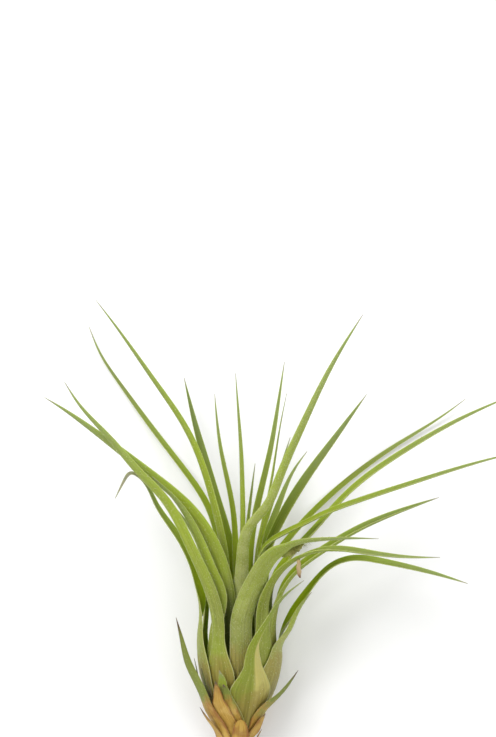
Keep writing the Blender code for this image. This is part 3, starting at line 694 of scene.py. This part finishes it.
def add_piece(name, points, faces, skin, marks, node=None):
    """One closed body in its place, with the marks that its skin reads at each point."""
    mesh = new_mesh(name, points, faces, marks)
    mesh.shade_smooth()
    mesh.materials.append(SKINS[skin])
    piece = put_in_scene(name, mesh)
    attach(piece, BODY)
    if node:
        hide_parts(node)


def ring_faces(count, ring):
    """The faces of a flat tube of rings, closed at both ends."""
    faces = []
    for low in range(count - 1):
        for corner in range(ring):
            turn = (corner + 1) % ring
            a, b = low * ring + corner, low * ring + turn
            faces.append((a, b, b + ring, a + ring))
    last = (count - 1) * ring
    for step in range(ring // 2 - 1):
        left, right = step, ring - 1 - step
        faces.append((left, right, right - 1, step + 1))
        faces.append((last + left, last + step + 1, last + right - 1, last + right))
    return faces


class Coat:
    """All the leaves' surfaces together, with how thick each kind of hair is strewn on them."""

    def __init__(self):
        self.points = []
        self.faces = []
        self.lay = []
        self.strewn = {"scurf": [], "fringe": [], "tuft": []}
        self.count = 0

    def add(self, leaf, rings, faces, rows):
        points = rested(rings.reshape(-1, 3))
        margin = ease(np.abs(rows["across"]), MARGIN_FROM, 1.0)
        free = ease(points[:, 2], HAIRLESS_HEIGHT * MM, 2 * HAIRLESS_HEIGHT * MM)
        free = free * (1 - ease(rows["blade"], *HAIRS_END)) * (1 - rows["withered"])
        bare = 1 - DRY_BARE * rows["dry"]
        fuzz = band(rows["blade"], *KINK_FUZZ) * margin
        fuzz = fuzz + NECK_FUZZ_SHARE * band(rows["up"], *NECK_FUZZ) * margin
        scurf = (1 - rows["inside"]) * leaf.bloom * bare * free * (1 - SUNK_BARE * rows["sunk"])
        self.points.append(points)
        self.faces += [tuple(corner + self.count for corner in face) for face in faces]
        self.lay.append(laid(unit(np.gradient(rings, axis=0)).reshape(-1, 3)))
        self.strewn["scurf"].append(scurf)
        self.strewn["fringe"].append(margin * free)
        self.strewn["tuft"].append(fuzz * free * (rows["across"] > 0) * bool(leaf.kink))
        self.count += len(points)

    def mesh(self, kind):
        strewn = np.concatenate(self.strewn[kind])
        mesh = new_mesh("leaf_coat", np.concatenate(self.points), self.faces, {"strewn": strewn})
        lay = np.concatenate(self.lay).astype(np.float32)
        mesh.attributes.new("lay", "FLOAT_VECTOR", "POINT").data.foreach_set("vector", lay.ravel())
        return mesh


COAT = Coat()


def add_leaf(leaf, number):
    """A leaf or a scale in the place of its solid, and its share of the coat."""
    outer, inner, marks = leaf_sections(leaf)
    rings = round_ring(outer, inner)
    count, ring = rings.shape[:2]
    faces = ring_faces(count, ring)
    rows = {mark: round_ring(values, values).ravel() for mark, values in marks.items()}
    rows["inside"] = round_ring(np.zeros_like(marks["up"]), np.ones_like(marks["up"])).ravel()
    rows["dry"] = 1 - ease(rows["up"], leaf.dry_to - DRY_BELOW, leaf.dry_to + DRY_ABOVE)
    withers = 1 - WITHERS_FROM * leaf.withered, 1 - WITHERS_TO * leaf.withered
    rows["withered"] = ease(rows["blade"], *withers)
    rows["bloom"] = np.full(count * ring, leaf.bloom)
    radius = np.hypot(rings[..., 0], rings[..., 1]).ravel()
    # Painted shade: a leaf that lies far inside the bulb's outline is darkened low down, where the rosette
    # shades it
    rows["sunk"] = ease(BULB.at(rows["up"]) - radius, SUNK_FROM, SUNK_TO) * leaf.heart_shade
    rows["sunk"] *= 1 - ease(rows["up"], *SUNK_FADE)
    rows["flank"] = leaf.flank * ease(rows["across"], *FLANK_EDGE)
    # Painted light in the channel low on a leaf, brightening it where it lies in shade
    rows["channel_light"] = leaf.channel_light * (1 - ease(rows["blade"], *CHANNEL_LIGHT_FADE))
    # Painted shade over the free blade of a leaf that lies in the shade of others
    rows["blade_shade"] = leaf.blade_shade * ease(rows["blade"], *BLADE_SHADE_RISE)
    rows["number"] = np.full(count * ring, float(number))
    COAT.add(leaf, rings, faces, rows)
    add_piece(leaf.name + "_blade", rested(rings.reshape(-1, 3)), faces, leaf.skin, rows,
              leaf.name)


class HairTree:
    """Geometry nodes that strew tapered hairs over a coat, tipped from it towards the leaf's tip."""

    def __init__(self, name):
        self.tree = bpy.data.node_groups.new(name, "GeometryNodeTree")
        self.entries = {}
        for label, kind in HAIR_SOCKETS.items():
            made = self.tree.interface.new_socket(label, in_out="INPUT", socket_type="NodeSocket" + kind)
            self.entries[label] = made.identifier
        self.tree.interface.new_socket("Geometry", in_out="OUTPUT", socket_type="NodeSocketGeometry")
        self.given = self.node("NodeGroupInput")
        self.build()

    def node(self, kind, *feeds, **settings):
        """A node with its settings, fed at each entry by an output of an earlier one."""
        made = self.tree.nodes.new(kind)
        for setting, value in settings.items():
            setattr(made, setting, value)
        for entry, source, output in feeds:
            self.tree.links.new(source.outputs[output], made.inputs[entry])
        return made

    def mark(self, name, kind):
        made = self.node("GeometryNodeInputNamedAttribute", data_type=kind)
        made.inputs["Name"].default_value = name
        return made

    def random(self, low, high):
        made = self.node("FunctionNodeRandomValue", ("Seed", self.given, "Seed"), data_type="FLOAT")
        made.inputs[2].default_value = low
        made.inputs[3].default_value = high
        return made

    def build(self):
        given = self.given
        share = self.node("ShaderNodeMath", (0, self.mark("strewn", "FLOAT"), "Attribute"),
                          (1, given, "Density"), operation="MULTIPLY")
        roots = self.node("GeometryNodeDistributePointsOnFaces", ("Mesh", given, "Geometry"),
                          ("Density", share, 0), ("Seed", given, "Seed"))
        hair = self.node("GeometryNodeMeshCone", ("Radius Bottom", given, "Width"),
                         ("Depth", given, "Length"))
        hair.inputs["Vertices"].default_value = HAIR_SIDES
        hair.inputs["Radius Top"].default_value = 0.0
        lean = self.node("ShaderNodeMix", (0, given, "Lean"), (4, roots, "Normal"),
                         (5, self.mark("lay", "FLOAT_VECTOR"), "Attribute"), data_type="VECTOR")
        point = self.node("FunctionNodeAlignRotationToVector", ("Vector", lean, 1), axis="Z")
        spin = self.node("ShaderNodeCombineXYZ", ("Z", self.random(0.0, math.tau), 1))
        turn = self.node("FunctionNodeEulerToRotation", (0, spin, 0))
        stand = self.node("FunctionNodeRotateRotation", ("Rotation", point, 0), ("Rotate By", turn, 0),
                          rotation_space="LOCAL")
        hairs = self.node("GeometryNodeInstanceOnPoints", ("Points", roots, "Points"),
                          ("Instance", hair, "Mesh"), ("Rotation", stand, 0),
                          ("Scale", self.random(*HAIR_SHARES), 1))
        real = self.node("GeometryNodeRealizeInstances", (0, hairs, 0))
        finish = self.node("GeometryNodeSetMaterial", ("Geometry", real, 0), ("Material", given, "Skin"))
        self.node("NodeGroupOutput", (0, finish, 0))

    def grow(self, name, kind, per_square_mm, length, width, lean, seed, skin):
        """One kind of hair over all the leaves, as a plain mesh."""
        carrier = put_in_scene("hair_carrier", COAT.mesh(kind))
        growth = carrier.modifiers.new("hairs", "NODES")
        growth.node_group = self.tree
        values = {"Density": per_square_mm / MM ** 2, "Length": length * MM, "Width": width * MM,
                  "Lean": lean, "Seed": seed, "Skin": SKINS[skin]}
        for label, value in values.items():
            growth[self.entries[label]] = value
        graph = bpy.context.evaluated_depsgraph_get()
        mesh = bpy.data.meshes.new_from_object(carrier.evaluated_get(graph), depsgraph=graph)
        carrier.modifiers.remove(growth)
        bpy.data.objects.remove(carrier)
        mesh.name = name
        piece = put_in_scene(name, mesh)
        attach(piece, BODY)


def add_hairs():
    tree = HairTree("leaf_hairs")
    for hair in HAIRS:
        tree.grow(*hair)


def add_flap(name, flat, wall, thickness, marks, skin):
    """A thin flap of tissue through rows of points, with the marks that its skin reads on them."""
    thick = wall[:, None] * thickness / 2
    rings = round_ring(flat + thick, flat - thick)
    rows = {}
    for mark, values in marks.items():
        values = np.broadcast_to(values, flat.shape[:2])
        rows[mark] = round_ring(values, values).ravel()
    add_piece(name, rested(rings.reshape(-1, 3)), ring_faces(*rings.shape[:2]), skin, rows)


def add_shred():
    """The withered bit that hangs from the lower edge of the blade next below the kinked one."""
    knots = np.array([seen(*point) for point in SHRED_PATH])
    along = np.linspace(0, 1, SHRED_STATIONS)
    line = Curve(np.linspace(0, 1, len(knots)), knots).at(along)
    twist = np.radians(SHRED_TWIST) * along
    side = np.stack([np.cos(twist), np.sin(twist), np.zeros_like(twist)], axis=1)
    wall = unit(np.cross(unit(np.gradient(line, axis=0)), side))
    across = np.linspace(-1, 1, FLAP_POINTS)
    left = np.interp(along, SHRED_KNOTS, SHRED_LEFT)
    right = np.interp(along, SHRED_KNOTS, SHRED_RIGHT)
    half = SHRED_HALF * np.where(across < 0, left[:, None], right[:, None])[..., None]
    curl = (SHRED_CURL * (1 - across ** 2))[:, None]
    flat = line[:, None] + half * (side[:, None] * across[:, None] + wall[:, None] * curl)
    along = along[:, None]
    marks = {"along": along * SHRED_GRAIN, "blade": along, "across": across, "inside": 0.0,
             "number": SHRED_NUMBER, "dry": ease(along, *SHRED_DRIES),
             "withered": ease(along, *SHRED_WITHERS)}
    add_flap("withered_shred", flat, wall, SHRED_THICKNESS, marks, "shred")


def add_tear():
    """The torn margin under the front blade's kink: a ragged flap that hangs to the blade below."""
    kinked = next(leaf for leaf in LEAVES if leaf.kink)
    outer, inner, marks = leaf_sections(kinked)
    middle = (outer + inner) / 2
    share = np.linspace(0, 1, TEAR_STATIONS)
    at = TEAR_FROM + (TEAR_TO - TEAR_FROM) * share
    blade = marks["blade"][:, -1]
    rim = read_off(at, blade, middle[:, -1])
    back = read_off(at, blade, middle[:, -TEAR_INSET])
    hang = unit(unit(rim - back) + np.array([0.0, 0.0, -1.0]))
    wall = unit(np.cross(unit(np.gradient(rim, axis=0)), hang))
    rough = np.random.default_rng(TEAR_SEED)
    drop = TEAR_REACH * np.sqrt(np.sin(math.pi * share)) * (1 - TEAR_RAGGED * rough.random(TEAR_STATIONS))
    across = np.linspace(0, 1, FLAP_POINTS)
    fold = TEAR_CRUMPLE * rough.uniform(-1, 1, (TEAR_STATIONS, FLAP_POINTS)) * across
    flat = rim[:, None] + hang[:, None] * (drop[:, None] * across)[..., None]
    flat = flat + wall[:, None] * fold[..., None]
    marks = dict.fromkeys(("blade", "withered", "across", "inside"), 0.0)
    marks.update(along=share[:, None] * TEAR_GRAIN, dry=across, number=TEAR_NUMBER)
    add_flap("torn_margin", flat, wall, TEAR_THICKNESS, marks, "tear")


def add_stem():
    """A turned core: closed flat at its cut end and domed at its growing point."""
    rings = [[turned(360 * side / STEM_SIDES, radius, height) for side in range(STEM_SIDES)]
             for height, radius in STEM_OUTLINE]
    points = np.array(rings).reshape(-1, 3)
    points = np.concatenate([points, [(0, 0, STEM_OUTLINE[0][0]), (0, 0, STEM_TOP)]])
    last = (len(rings) - 1) * STEM_SIDES
    foot, top = len(points) - 2, len(points) - 1
    faces = []
    for side in range(STEM_SIDES):
        turn = (side + 1) % STEM_SIDES
        for low in range(0, last, STEM_SIDES):
            faces.append((low + side, low + turn, low + turn + STEM_SIDES, low + side + STEM_SIDES))
        faces.append((foot, turn, side))
        faces.append((last + side, last + turn, top))
    cut = np.zeros(len(points))
    cut[foot] = 1
    rows = {"up": points[:, 2], "cut": cut}
    add_piece("stem_core", rested(points), faces, "bark", rows, "stem")


def tone(red, green, blue):
    """A colour as the eye reads it, 0 to 255 on the sRGB curve, as the share of light it sends back."""
    levels = np.array([red, green, blue]) / 255
    shares = np.where(levels <= 0.04045, levels / 12.92, ((levels + 0.055) / 1.055) ** 2.4)
    return (*(float(share) / 2 ** EXPOSURE for share in shares), 1.0)


class Recipe:
    """Makes and joins the shader nodes of one material, and builds its colour up in washes."""

    def __init__(self, name):
        self.material = bpy.data.materials.new(name)
        self.material.use_nodes = True
        self.nodes = self.material.node_tree.nodes
        self.links = self.material.node_tree.links
        self.shader = self.nodes["Principled BSDF"]
        self.colour = None

    def put(self, value, socket):
        if isinstance(value, bpy.types.NodeSocket):
            self.links.new(value, socket)
        else:
            socket.default_value = value

    def mark(self, name):
        node = self.nodes.new("ShaderNodeAttribute")
        node.attribute_name = name
        return node.outputs["Fac"]

    def marks(self, *names):
        return [self.mark(name) for name in names]

    def sum(self, operation, *values):
        node = self.nodes.new("ShaderNodeMath")
        node.operation = operation
        for value, socket in zip(values, node.inputs):
            self.put(value, socket)
        return node.outputs["Value"]

    def plus(self, one, other):
        return self.sum("ADD", one, other)

    def times(self, one, other):
        return self.sum("MULTIPLY", one, other)

    def rise(self, value, start, end, low=0.0, high=1.0):
        """Goes smoothly from low to high as the value goes from start to end."""
        node = self.nodes.new("ShaderNodeMapRange")
        node.interpolation_type = "SMOOTHSTEP"
        self.put(value, node.inputs["Value"])
        for socket, number in (("From Min", start), ("From Max", end), ("To Min", low), ("To Max", high)):
            node.inputs[socket].default_value = number
        return node.outputs["Result"]

    def mix(self, share, low, high):
        node = self.nodes.new("ShaderNodeMix")
        node.data_type = "RGBA"
        self.put(share, node.inputs[0])
        self.put(low, node.inputs[6])
        self.put(high, node.inputs[7])
        return node.outputs[2]

    def wash(self, share, colour):
        """Lays a share of a colour over what the skin has so far."""
        self.colour = self.mix(share, self.colour, colour)

    def vector(self, *values):
        node = self.nodes.new("ShaderNodeCombineXYZ")
        for value, socket in zip(values, node.inputs):
            self.put(value, socket)
        return node.outputs["Vector"]

    def place(self):
        return self.nodes.new("ShaderNodeTexCoord").outputs["Object"]

    def noise(self, where, scale, detail):
        node = self.nodes.new("ShaderNodeTexNoise")
        self.put(where, node.inputs["Vector"])
        node.inputs["Scale"].default_value = scale
        node.inputs["Detail"].default_value = detail
        return node.outputs["Fac"]

    def grain(self, across, along, fineness, drawn_out, detail):
        """Streaks that run along a piece, and differ from one piece to the next."""
        number = self.mark("number")
        streaks = self.vector(self.times(across, fineness), self.times(along, drawn_out), number)
        return self.noise(streaks, 1.0, detail)

    def dots(self, where, scale, reach):
        """1 in the middle of dots that are strewn at a scale, and 0 beyond their reach."""
        node = self.nodes.new("ShaderNodeTexVoronoi")
        self.put(where, node.inputs["Vector"])
        node.inputs["Scale"].default_value = scale
        return self.rise(node.outputs["Distance"], reach, reach / 2)

    def glow(self):
        """Lets light through thin tissue, the green of it furthest, and dulls its shine."""
        self.shader.inputs["Subsurface Weight"].default_value = TISSUE_GLOW
        self.shader.inputs["Subsurface Radius"].default_value = LIGHT_REACH
        self.shader.inputs["Subsurface Scale"].default_value = TISSUE_DEPTH
        self.shader.inputs["Specular IOR Level"].default_value = TISSUE_SHINE

    def finish(self, roughness, relief, strength, distance):
        """Joins the colour, the roughness and the relief to the shader, and gives the material."""
        node = self.nodes.new("ShaderNodeBump")
        self.put(relief, node.inputs["Height"])
        node.inputs["Strength"].default_value = strength
        node.inputs["Distance"].default_value = distance
        self.put(node.outputs["Normal"], self.shader.inputs["Normal"])
        self.put(self.colour, self.shader.inputs["Base Color"])
        self.put(roughness, self.shader.inputs["Roughness"])
        return self.material


def leaf_skin(name, back, fresh, front):
    """Living leaf: a powdery back, a bare bright channel with painted light on some, pale margins partly
    painted as highlights, painted shade low in the rosette and on shaded blades, a dried base and a dead
    tip.
    """
    skin = Recipe(name)
    inside, across, along, blade = skin.marks("inside", "across", "along", "blade")
    place = skin.place()
    veins = skin.grain(across, along, 9.0, 0.03, 3.0)
    drift = skin.grain(across, along, 1.0, 0.045, 2.0)
    patches = skin.noise(place, 240.0, 3.0)

    skin.colour = skin.mix(skin.rise(drift, 0.35, 0.65, 0.0, 0.6), back, front)
    skin.wash(skin.rise(blade, 0.08, 0.5, 0.0, 0.8), fresh)
    skin.wash(skin.times(skin.mark("flank"), 0.75), FLANK_PALE)
    # The channel's own colour, brightened with painted light on leaves whose channel lies in shade
    skin.wash(skin.rise(inside, 0.3, 0.7), skin.mix(skin.mark("channel_light"), front, CHANNEL_LIGHT))
    powder = skin.times(skin.mark("bloom"), skin.rise(inside, 0.7, 0.3))
    powder = skin.times(powder, skin.rise(blade, 0.6, 0.05, 0.22, 1.0))
    skin.wash(skin.times(powder, skin.rise(patches, 0.3, 0.7, 0.14, 0.42)), SILVER)
    skin.wash(skin.rise(veins, 0.4, 0.7, 0.0, 0.22), DEEP_GREEN_AND_SHADE)
    skin.wash(skin.rise(veins, 0.48, 0.3, 0.0, 0.3), RIB_LIGHT)
    skin.wash(skin.rise(blade, 0.3, 1.0, 0.0, 0.95), FAR_GREY)
    # Painted shade over the free blades of shaded leaves
    skin.wash(skin.mark("blade_shade"), DEEP_GREEN_AND_SHADE)
    speck = skin.times(skin.dots(place, SPECK_SCALE, 0.36), powder)
    skin.wash(skin.times(speck, 0.5), SILVER)
    # Painted shade, lighter on the channel, where the leaf lies sunk in the rosette
    skin.wash(skin.times(skin.mark("sunk"), skin.rise(inside, 0.0, 1.0, 0.92, 0.5)), DEEP_GREEN_AND_SHADE)

    husk = skin.mix(skin.rise(veins, 0.35, 0.65), BASE_OLIVE, BASE_STREAK)
    ragged = skin.plus(skin.mark("dry"), skin.rise(patches, 0.3, 0.7, -0.18, 0.18))
    skin.wash(skin.rise(ragged, 0.15, 0.95, 0.0, 0.85), husk)
    skin.wash(skin.times(powder, 0.12), SILVER)
    # Pale margins: partly their own pale edge, partly a painted highlight along them
    skin.wash(skin.rise(skin.sum("ABSOLUTE", across), 0.92, 0.985, 0.0, 0.75), MARGIN_PALE_AND_HIGHLIGHT)
    skin.wash(skin.mark("withered"), skin.mix(skin.rise(veins, 0.35, 0.65), TIP_GREY, DEAD_LIGHT))

    skin.glow()
    relief = skin.plus(veins, skin.times(speck, 0.5))
    relief = skin.plus(relief, skin.times(patches, 0.3))
    return skin.finish(skin.rise(patches, 0.25, 0.75, 0.4, 0.6), relief,
                       strength=0.6, distance=0.0003)


def husk_skin(name, flesh, husk, streak, edge, tip):
    """Dry papery scale: ochre with darker fibres and scorched margins, and still green higher up."""
    skin = Recipe(name)
    across, along = skin.marks("across", "along")
    place = skin.place()
    fibres = skin.grain(across, along, 12.0, 0.09, 4.0)
    patches = skin.noise(place, 190.0, 3.0)

    living = skin.mix(skin.rise(fibres, 0.35, 0.65, 0.0, 0.5), flesh, LIVE_STREAK)
    skin.colour = skin.mix(skin.rise(fibres, 0.36, 0.62), husk, streak)
    skin.wash(skin.rise(patches, 0.45, 0.7, 0.0, 0.6), edge)
    skin.wash(skin.rise(skin.noise(place, 120.0, 2.0), 0.5, 0.3, 0.0, 0.5), HUSK_PALE)
    skin.wash(skin.rise(skin.mark("inside"), 0.3, 0.7, 0.0, 0.6), edge)
    ragged = skin.plus(skin.mark("dry"), skin.rise(patches, 0.3, 0.7, -0.2, 0.2))
    skin.colour = skin.mix(skin.rise(ragged, 0.2, 0.8), living, skin.colour)
    rim = skin.plus(skin.sum("ABSOLUTE", across), skin.rise(patches, 0.2, 0.8, -0.12, 0.12))
    skin.wash(skin.times(skin.rise(rim, 0.62, 1.0, 0.0, 0.9), skin.rise(ragged, 0.3, 0.9)), edge)
    skin.wash(skin.times(skin.mark("withered"), skin.rise(skin.mark("blade"), 0.5, 0.95)), tip)

    relief = skin.plus(fibres, skin.times(patches, 0.6))
    return skin.finish(skin.rise(fibres, 0.25, 0.75, 0.5, 0.72), relief,
                       strength=0.8, distance=0.0007)


def stem_skin(name, dark, light, pith, living):
    """Dry woody stem: dark with paler fibres, paler pith in its cut end, and living green at its top."""
    skin = Recipe(name)
    fibres = skin.noise(skin.place(), 420.0, 4.0)
    skin.colour = skin.mix(skin.rise(fibres, 0.35, 0.7), dark, light)
    skin.wash(skin.rise(skin.mark("cut"), 0.1, 0.7, 0.0, 0.8), pith)
    skin.wash(skin.rise(skin.mark("up"), 14.0, 20.0), living)
    return skin.finish(skin.rise(fibres, 0.2, 0.8, 0.7, 0.9), fibres,
                       strength=0.7, distance=0.0006)


def hair_skin(name, dark, light):
    """Fine dry hair, paler in some patches than in others."""
    skin = Recipe(name)
    patches = skin.noise(skin.place(), 900.0, 2.0)
    skin.colour = skin.mix(skin.rise(patches, 0.35, 0.65), dark, light)
    return skin.finish(skin.rise(patches, 0.2, 0.8, 0.55, 0.75), patches,
                       strength=0.3, distance=0.0001)


# The tones that several skins share
# A dark green for the veins' own streaks, and also the painted shade in the rosette and on shaded blades
DEEP_GREEN_AND_SHADE = tone(54, 68, 0)
SILVER = tone(190, 194, 124)
RIB_LIGHT = tone(172, 178, 92)
FAR_GREY = tone(138, 147, 90)
# A margin's own pale edge, also serving as a painted highlight
MARGIN_PALE_AND_HIGHLIGHT = tone(196, 200, 132)
FLANK_PALE = tone(214, 198, 120)
# The painted light laid into a shaded channel
CHANNEL_LIGHT = tone(182, 200, 30)
BASE_OLIVE = tone(156, 138, 62)
BASE_STREAK = tone(130, 114, 42)
LIVE_STREAK = tone(112, 126, 30)
HUSK_PALE = tone(226, 192, 108)
TIP_GREY = tone(122, 114, 94)
DEAD_LIGHT = tone(166, 158, 142)

# How close together the specks of powder are. How far red, green and blue light goes in living
# tissue, as shares of its depth in metres, how much of the light does, and how the leaf shines
SPECK_SCALE = 1100.0
LIGHT_REACH = (0.7, 1.0, 0.15)
TISSUE_DEPTH = 0.0015
TISSUE_GLOW = 0.4
TISSUE_SHINE = 0.25

# A leaf's back low down, its back further out and its channel; a scale's living part, husk, fibres,
# scorched edge and tip; the stem's bark, fibres, pith and green top; and a hair's two tones
SKINS = {
    "sage": leaf_skin("leaf_sage", tone(132, 140, 52), tone(156, 174, 26), tone(142, 160, 14)),
    "green": leaf_skin("leaf_green", tone(132, 142, 34), tone(140, 156, 26), tone(128, 144, 18)),
    "tan": husk_skin("husk_tan", tone(132, 142, 52), tone(210, 172, 76), tone(184, 142, 48),
                     tone(150, 94, 28), tone(112, 88, 66)),
    "dead": husk_skin("husk_dark", tone(96, 96, 38), tone(104, 92, 48), tone(82, 68, 36),
                      tone(86, 58, 30), tone(74, 62, 48)),
    "shred": husk_skin("shred_dry", tone(168, 168, 96), tone(224, 206, 150), tone(208, 176, 132),
                       tone(206, 164, 120), tone(132, 84, 50)),
    "tear": husk_skin("tear_olive", tone(134, 144, 44), tone(168, 166, 82), tone(112, 116, 30),
                      tone(146, 134, 62), tone(110, 90, 50)),
    "bark": stem_skin("stem_bark", tone(72, 42, 22), tone(128, 84, 46), tone(172, 132, 88),
                      tone(150, 160, 70)),
    "scurf": hair_skin("scurf_silver", tone(182, 188, 112), tone(214, 218, 170)),
    "tuft": hair_skin("tuft_olive", tone(112, 114, 34), tone(170, 170, 80)),
}


def add_floor():
    corners = [(x * FLOOR_HALF, y * FLOOR_HALF, 0) for x, y in ((-1, -1), (1, -1), (1, 1), (-1, 1))]
    mesh = new_mesh("floor", corners, [(0, 1, 2, 3)])
    paint = Recipe("floor_white")
    paint.put(FLOOR_WHITE, paint.shader.inputs["Base Color"])
    paint.put(FLOOR_ROUGHNESS, paint.shader.inputs["Roughness"])
    mesh.materials.append(paint.material)
    put_in_scene("floor", mesh)


def add_lamp(name, place, size, power):
    light = bpy.data.lights.new(name, "AREA")
    light.shape = "DISK"
    light.size = size
    light.energy = power
    lamp = put_in_scene(name, light)
    lamp.matrix_world = Matrix.Translation(place) @ matrix_facing(np.subtract(LAMP_AIM, place))


def matrix_facing(direction, up=(0.0, 1.0, 0.0)):
    """A turn that points an object's -Z along a direction, with its +Y as near to up as can be."""
    back = -unit(np.array(direction, float))
    right = unit(np.cross(up, back))
    top = np.cross(back, right)
    return Matrix([(*row, 0.0) for row in np.stack([right, top, back], axis=1)] + [(0, 0, 0, 1)])


def add_lights():
    """A white room with a broad soft lamp over the plant's left and a fainter one over its right."""
    for lamp in LAMPS:
        add_lamp(*lamp)
    world = bpy.data.worlds.new("studio")
    world.use_nodes = True
    shade = world.node_tree.nodes["Background"]
    shade.inputs["Color"].default_value = (1, 1, 1, 1)
    shade.inputs["Strength"].default_value = ROOM_LIGHT
    bpy.context.scene.world = world
    bpy.context.scene.view_settings.view_transform = "Standard"
    bpy.context.scene.view_settings.exposure = EXPOSURE


def add_camera():
    """The photograph's camera: level with the standing plant, so nearly overhead once it lies down."""
    data = bpy.data.cameras.new("camera")
    data.sensor_width = FILM
    data.lens = FILM * SIGHT_DISTANCE / VIEW_SPAN
    data.clip_start, data.clip_end = SIGHT_CLIP
    camera = put_in_scene("camera", data)
    eye = (laid((SIGHT_ACROSS, -SIGHT_DISTANCE, SIGHT_UP)) + BED) * MM
    camera.matrix_world = Matrix.Translation(eye) @ matrix_facing(laid((0, 1, 0)), laid((0, 0, 1)))
    bpy.context.scene.camera = camera


nest(LEAVES)
add_stem()
for number, leaf in enumerate(LEAVES + SCALES):
    add_leaf(leaf, number)
add_shred()
add_tear()
add_hairs()
add_floor()
add_lights()
add_camera()
